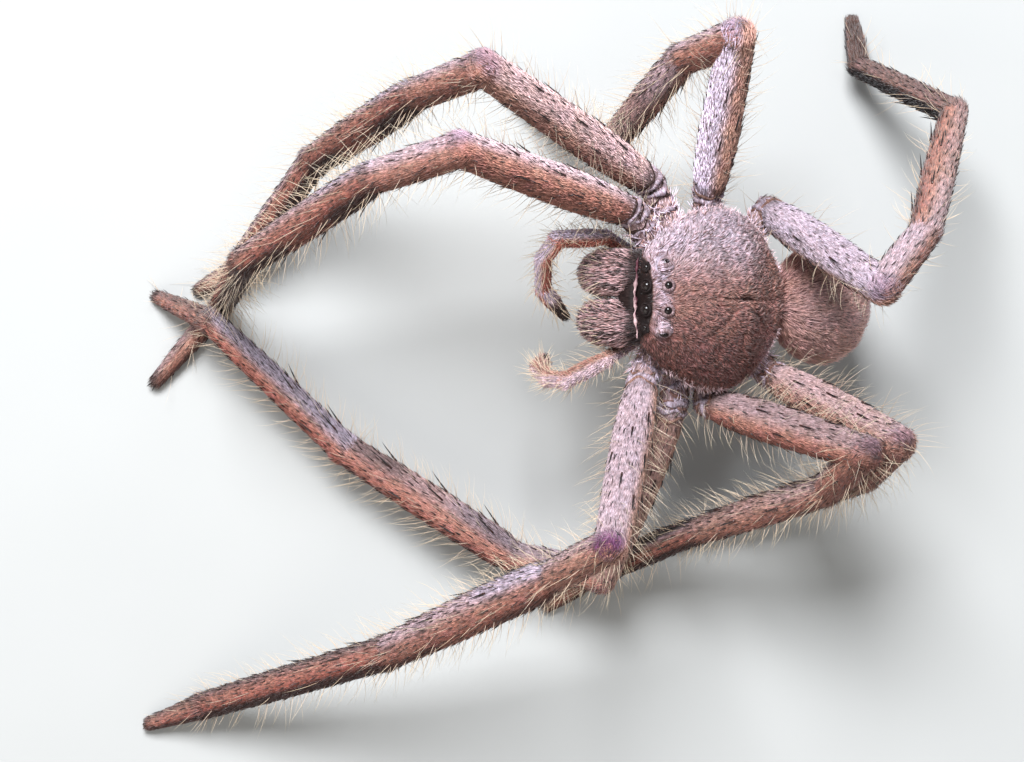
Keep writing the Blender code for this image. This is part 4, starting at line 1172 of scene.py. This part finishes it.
points, faces, *_ = closed_skin(strip_surface, crowded_shares(90), 20)
piece("face_strip", over_floor(points), faces, strip_material(), body_slot="carapace")
behind_jaws = ball_surface((0.0, -5.45, -0.45), (2.0, 0.55, 0.95))
points, faces, *_ = closed_skin(behind_jaws, even_shares(40), 48)
piece("face_skin", over_floor(points), faces, BODY_SKIN, body_slot="carapace",
      marks=(0.0, 0.3, 0.98, 0.0), SkinMap=points[:, [0, 2]])

# Jaws
# Two swollen jaws hang side by side in front of the head, black at the root, grey-pink fur with
# dark streaks down the front and a cream fringe over the fang.
# Middle and radius of the jaw's sections, and the same of the fang's, in the body's frame.
CHELICERA = [(1.6, -4.6, -0.3, 1.3), (1.62, -5.6, -1.2, 1.48), (1.6, -6.15, -2.5, 1.48),
             (1.5, -6.1, -3.7, 1.28), (1.42, -5.8, -4.6, 0.9)]
FANG = [(1.2, -5.3, -5.8, 0.34), (0.9, -4.5, -6.0, 0.3), (0.55, -3.8, -5.7, 0.2), (0.35, -3.3, -5.2, 0.05)]
JAW_FUR_PER_MM2 = 82.0
JAW_FRINGE_PER_MM2 = 5.0


def jaw_marks(_, share, angle, *unused):
    """Dark at the root, paler towards the lower end, with dark streaks between."""
    zero = 0 * share
    streak = 0.3 * (np.sin(angle * 11.0 + share * 5.0) > 0.75)
    dark = 0.98 * (1 - ramp(share, 0.25, 0.33)) + streak * (1 - ramp(share, 0.7, 0.8))
    return np.clip(np.stack([0.36 + 0.35 * ramp(share, 0.55, 0.85), 0.42 + zero, dark, zero], -1), 0, 1)


FANG_HORN = glossy_material("fang_horn", 0.6, (4000.0, 3.0), ((0.012, 0.005, 0.004), (0.07, 0.02, 0.014)),
                            (0.1, 0.3))
for order, (word, side) in enumerate((("left", 1.0), ("right", -1.0))):
    front = BODY_TURN @ (0.0, -1.0, 0.2)
    rows = [(*over_floor((x * side, y, z)), radius - 0.06) for x, y, z, radius in CHELICERA]
    jaw = [("jaw", limb(rows, front))]
    points, faces, shares, angles, flat = limb_skin(jaw[0][1], 60, 56)
    piece("chelicera_%s_skin" % word, points, faces, BODY_SKIN, ["chelicera_" + word],
          marks=jaw_marks("jaw", shares, angles), SkinMap=flat)
    roots = limb_roots(jaw, JAW_FUR_PER_MM2, order + 80, jaw_marks)
    dark = chances(len(roots["share"]), order + 520, 1)[:, 0] < 0.36
    roots["marks"][dark & (roots["share"] < 0.8)] = BLACK_HAIR
    hair_piece("chelicera_%s_coat" % word, BODY_COAT, roots, "chelicera_" + word, order + 300,
               length=(0.45, 0.85), width=(0.06, 0.11), lift=(0.12, 0.38), steps=2, jitter=0.35,
               tone=(0.25, 1.15))
    roots = limb_roots(jaw, JAW_FRINGE_PER_MM2, order + 85, jaw_marks)
    roots["marks"][:] = (0.6, 0.1, 0.0, 0.0)
    roots = thinned(roots, (roots["share"] > 0.45) & (roots["share"] < 0.97))
    hair_piece("chelicera_%s_fringe" % word, LONG_HAIR, roots, "chelicera_" + word, order + 310,
               length=(0.8, 1.7), width=(0.035, 0.055), lift=(0.4, 0.9), bend=(0.2, 0.8), steps=4,
               jitter=0.4)
    rows = [(*over_floor((x * side, y, z)), radius) for x, y, z, radius in FANG]
    points, faces, *_ = limb_skin(limb(rows, front), 40, 24)
    piece("fang_%s_horn" % word, points, faces, FANG_HORN, ["fang_" + word])

# Palps
# Two short feelers beside the jaws, pale above with rusty inner sides, black at the tips. The right
# one curls in front of the jaw, the left one ends in a fan of hair.
PALPS = {
    "right": [(-3.95, -4.9, 13.4), (-3.7, -8.1, 15.9), (-2.5, -9.0, 15.0), (-0.6, -9.0, 12.9),
              (1.0, -7.6, 11.2)],
    "left": [(3.95, -4.9, 13.4), (5.3, -7.6, 15.2), (5.2, -8.7, 14.6), (4.6, -9.3, 12.8), (3.9, -8.9, 10.8)],
}
# Radius at the start, the middle and the end of each segment.
PALP_GIRTHS = {"coxa": (0.5, 0.5, 0.52), "femur": (0.55, 0.64, 0.6), "patella": (0.6, 0.6, 0.58),
               "tibia": (0.58, 0.6, 0.56), "tarsus": (0.56, 0.6, 0.4)}
PALP_FUR_PER_MM2 = 75.0
PALP_LONG_HAIRS_PER_MM2 = 7.0
PALP_PALE_SIDES = {"right": (-0.7, -0.55, 0.9), "left": (0.6, -0.2, 0.8)}


def palp_marks(segment, share, angle, name, tables):
    """Pale on one side and rusty on the other, with a black tip. The left one is paler and less rusty,
    and its tip is black on the far side only."""
    away = degrees_from(angle, round_from(tables, PALP_PALE_SIDES[name]))
    tip = ramp(share, 0.3, 0.6) if segment == "tarsus" else 0 * share
    if name == "left":
        tip = tip * ramp(away, 60, 100)
        bright, rusty, shade = 0.6, 0.3, 0.35 * ramp(away, 50, 100)
    else:
        bright, rusty, shade = 1.0, 0.8, 0.5 * ramp(away, 120, 165)
    pale = bright * (1 - ramp(away, 45, 85)) * (1 - tip)
    rust = 0.1 + rusty * ramp(away, 60, 100)
    return np.clip(np.stack([pale, rust, np.maximum(tip * 0.95, shade), 0 * share], -1), 0, 1)


for order, (word, side) in enumerate((("left", 1.0), ("right", -1.0))):
    joints = [over_floor((2.7 * side, -3.2, -3.5))] + [np.array(point) for point in PALPS[word]]
    across = unit(np.cross(joints[2] - joints[1], joints[4] - joints[2]))
    parts = []
    for (segment, radii), start, end in zip(PALP_GIRTHS.items(), joints[:-1], joints[1:]):
        rows = [(*(start + (end - start) * share), radius - 0.1)
                for share, radius in zip((0.0, 0.45, 1.0), radii)]
        parts.append((segment, limb(rows, np.cross(unit(end - start), across))))
    limb_piece("palp_" + word, parts, 32, palp_marks, word)
    roots = limb_roots(parts, PALP_FUR_PER_MM2, order + 90, palp_marks, word)
    hair_piece("palp_%s_coat" % word, COAT, roots, "palp_%s_femur" % word, order + 320, length=(0.3, 0.55),
               width=(0.05, 0.08), lift=(0.12, 0.36), steps=2, jitter=0.3, tone=(0.35, 1.15))
    roots = limb_roots(parts, PALP_LONG_HAIRS_PER_MM2, order + 95, palp_marks, word)
    if word == "left":
        brush = repeated(thinned(roots, (roots["segment"] == "tarsus") & (roots["share"] > 0.1)), 4)
        brush["marks"] = (0.2, 0.5, 0.2, 0.0)
        hair_piece("palp_left_brush", COAT, brush, "palp_left_tarsus", 350, length=(0.25, 0.5),
                   width=(0.05, 0.08), lift=(0.5, 1.0), steps=2, jitter=0.6)
    hair_piece("palp_%s_long_hair" % word, LONG_HAIR, roots, "palp_%s_femur" % word, order + 340,
               length=(0.7, 1.9), width=(0.03, 0.045), lift=(0.5, 1.1), bend=(0.2, 0.8), steps=4, jitter=0.5)

# Abdomen
# A soft oval sac behind the shield, hung from a thin stalk and slanting down to the spinnerets. Its
# fur is longer and softer than the rest and streams back in locks of brownish pink.
ABDOMEN_CENTRE = (0.2, 9.5, 7.7)
ABDOMEN_HALF = (4.0, 3.8, 3.1)
ABDOMEN_PITCH = math.radians(-38.0)
ABDOMEN_FUR_DEPTH = 0.2
ABDOMEN_TURN = np.array([[1, 0, 0], [0, math.cos(ABDOMEN_PITCH), -math.sin(ABDOMEN_PITCH)],
                         [0, math.sin(ABDOMEN_PITCH), math.cos(ABDOMEN_PITCH)]])


def abdomen_surface(share, angle):
    """A ball stretched to the half lengths, a little wider and deeper to the rear, then pitched."""
    polar = np.pi * share
    way = -np.cos(polar)
    half = np.array(ABDOMEN_HALF) - ABDOMEN_FUR_DEPTH
    x = np.sin(polar) * np.cos(angle) * half[0] * (1 + 0.06 * way - 0.04 * way ** 2)
    y = way * half[1] + 0 * angle
    z = np.sin(polar) * np.sin(angle) * half[2] * (1 + 0.05 * way)
    return np.stack([x, y, z], -1) @ ABDOMEN_TURN.T + ABDOMEN_CENTRE


def abdomen_marks(points):
    """A little paler along the upper middle, darker and rustier to the front with a painted shadow of the
    shield, rustier below, with faint dark chevrons."""
    x, y, z = (((points - ABDOMEN_CENTRE) @ ABDOMEN_TURN) / ABDOMEN_HALF).T
    chevron = np.clip(np.sin((y - 0.5 * np.abs(x)) * 14.0) - 0.5, 0, 1) * 0.3 * ramp(z, 0.2, 0.7)
    pale = 0.12 + 0.15 * ramp(z, -0.2, 0.8) * (1 - ramp(np.abs(x), 0.2, 0.8))
    # Painted shadow of the shield over the front of the sac.
    front = 1 - ramp(y, -0.75, 0.1)
    rust = 0.12 + 0.25 * front + 0.2 * ramp(-z, -0.2, 0.6)
    return np.clip(np.stack([pale, rust, chevron * 0.5 + 0.36 * front, 0 * x], -1), 0, 1)


points, faces, _, _, flat = closed_skin(abdomen_surface, even_shares(90), 110, (3.0, 9.0))
piece("abdomen_skin", points, faces, BODY_SKIN, ["abdomen"], marks=abdomen_marks(points), SkinMap=flat)
ABDOMEN_HAIRS = 14500
roots = surface_roots(abdomen_surface, ABDOMEN_HAIRS, 21, ABDOMEN_CENTRE)
place, normal = roots["place"], roots["normal"]
along = unit(place - ABDOMEN_CENTRE - ABDOMEN_TURN @ (0.0, -1.1 * ABDOMEN_HALF[1], -2.0))
swirl = 0.3 * np.sin(2.3 * place[:, 0] + 1.8 * np.sin(1.9 * place[:, 1]))[:, None]
roots["lie"] = along * np.cos(swirl) + np.cross(normal, along) * np.sin(swirl)
roots["marks"] = abdomen_marks(place)
hair_piece("abdomen_coat", COAT, roots, "abdomen", 231, length=(0.5, 1.1), width=(0.045, 0.085),
           lift=(0.1, 0.36), steps=2, jitter=0.3, tone=(0.5, 1.4))

# Stalk, breast plate and spinnerets
# The stalk joins the two halves of the body, the breast plate is a flat shield between the roots
# of the legs, and the spinnerets are a short cluster of nipples at the rear end.
PLAIN_MARKS = (0.15, 0.3, 0.3, 0.0)
sternum = ball_surface((0.0, -0.2, -2.25), np.array((2.35, 3.1, 0.75)) - 0.1)
points, faces, *_ = closed_skin(sternum, even_shares(60), 80)
piece("sternum_skin", over_floor(points), faces, BODY_SKIN, ["sternum"], marks=PLAIN_MARKS,
      SkinMap=points[:, :2])

stalk = limb([(*over_floor((0.0, 4.3, -1.0)), 0.6), (*over_floor((0.0, 5.4, -1.1)), 0.6),
              (0.2, 6.8, 9.7, 0.7)], (0.0, 0.0, 1.0))
points, faces, _, _, flat = limb_skin(stalk, 40, 36)
piece("pedicel_skin", points, faces, BODY_SKIN, ["pedicel"], marks=PLAIN_MARKS, SkinMap=flat)

# Place across and above the rear end, length and radius of each nipple.
SPINNERETS = ((0.24, 0.0, 0.9, 0.2), (-0.24, 0.0, 0.9, 0.2), (0.2, -0.26, 0.75, 0.17),
              (-0.2, -0.26, 0.75, 0.17), (0.0, 0.2, 0.6, 0.15), (0.3, 0.22, 0.8, 0.15),
              (-0.3, 0.22, 0.8, 0.15))
ahead = unit(ABDOMEN_TURN @ (0.0, 1.0, -0.25))
skins = []
for across, above, reach, radius in SPINNERETS:
    root = ABDOMEN_TURN @ (across, ABDOMEN_HALF[1] * 0.93, above - 0.9) + ABDOMEN_CENTRE
    rows = [(*(root + ahead * reach * share), radius * girth)
            for share, girth in ((0.0, 1.0), (0.5, 1.0), (1.0, 0.7))]
    skins.append(limb_skin(limb(rows, (0.0, 0.0, 1.0)), 18, 18))
points, faces = merged(skins)
piece("spinnerets_skin", points, faces, BODY_SKIN, ["spinnerets"], marks=PLAIN_MARKS,
      SkinMap=np.vstack([skin[4] for skin in skins]))

# Floor, light and camera
# A plain pale floor, soft cool light from the animal's right and a weak warm one from its left.
FLOOR_HALF = 0.4
floor_mesh = bpy.data.meshes.new("floor")
floor_mesh.from_pydata([(-FLOOR_HALF, -FLOOR_HALF, 0), (FLOOR_HALF, -FLOOR_HALF, 0),
                        (FLOOR_HALF, FLOOR_HALF, 0), (-FLOOR_HALF, FLOOR_HALF, 0)], [], [(0, 1, 2, 3)])
floor = bpy.data.objects.new("floor", floor_mesh)
bpy.context.scene.collection.objects.link(floor)
paint, tree, shader = blank_material("floor_paint", 0.8)
cloud = noise(tree, own_place(tree), 60.0, 2.0)
feed(tree, shader.inputs["Base Color"], blended(tree, cloud, (0.44, 0.445, 0.43), (0.47, 0.475, 0.46)))
floor_mesh.materials.append(paint)


def soft_light(name, place, size, power, colour):
    """A square soft light that looks at the animal's body."""
    lamp = bpy.data.lights.new(name, "AREA")
    lamp.shape = "SQUARE"
    lamp.size = size
    lamp.energy = power
    lamp.color = colour
    holder = bpy.data.objects.new(name, lamp)
    holder.location = place
    back = Vector(place) - Vector((0.0, 0.0, 0.01))
    holder.rotation_euler = back.to_track_quat("Z", "Y").to_euler()
    bpy.context.scene.collection.objects.link(holder)


soft_light("key_light", (-0.16, -0.04, 0.25), 0.13, 1.9, (0.93, 0.95, 1.0))
soft_light("fill_light", (0.2, -0.16, 0.2), 0.3, 0.45, (1.0, 0.92, 0.84))
world = bpy.data.worlds.new("studio")
world.use_nodes = True
background = world.node_tree.nodes["Background"]
background.inputs["Color"].default_value = (0.80, 0.86, 0.92, 1.0)
background.inputs["Strength"].default_value = 0.34
bpy.context.scene.world = world

# The camera looks straight down, with the animal's front to the left of the picture.
camera_data = bpy.data.cameras.new("camera")
camera_data.sensor_width = 36.0
camera_data.lens = 81.25
camera_data.clip_start = 0.001
camera = bpy.data.objects.new("camera", camera_data)
camera.matrix_world = Matrix(((0, -1, 0, 0.000594), (1, 0, 0, -0.002098), (0, 0, 1, 0.163), (0, 0, 0, 1)))
bpy.context.scene.collection.objects.link(camera)
bpy.context.scene.camera = camera

bpy.context.scene.view_settings.view_transform = "Standard"
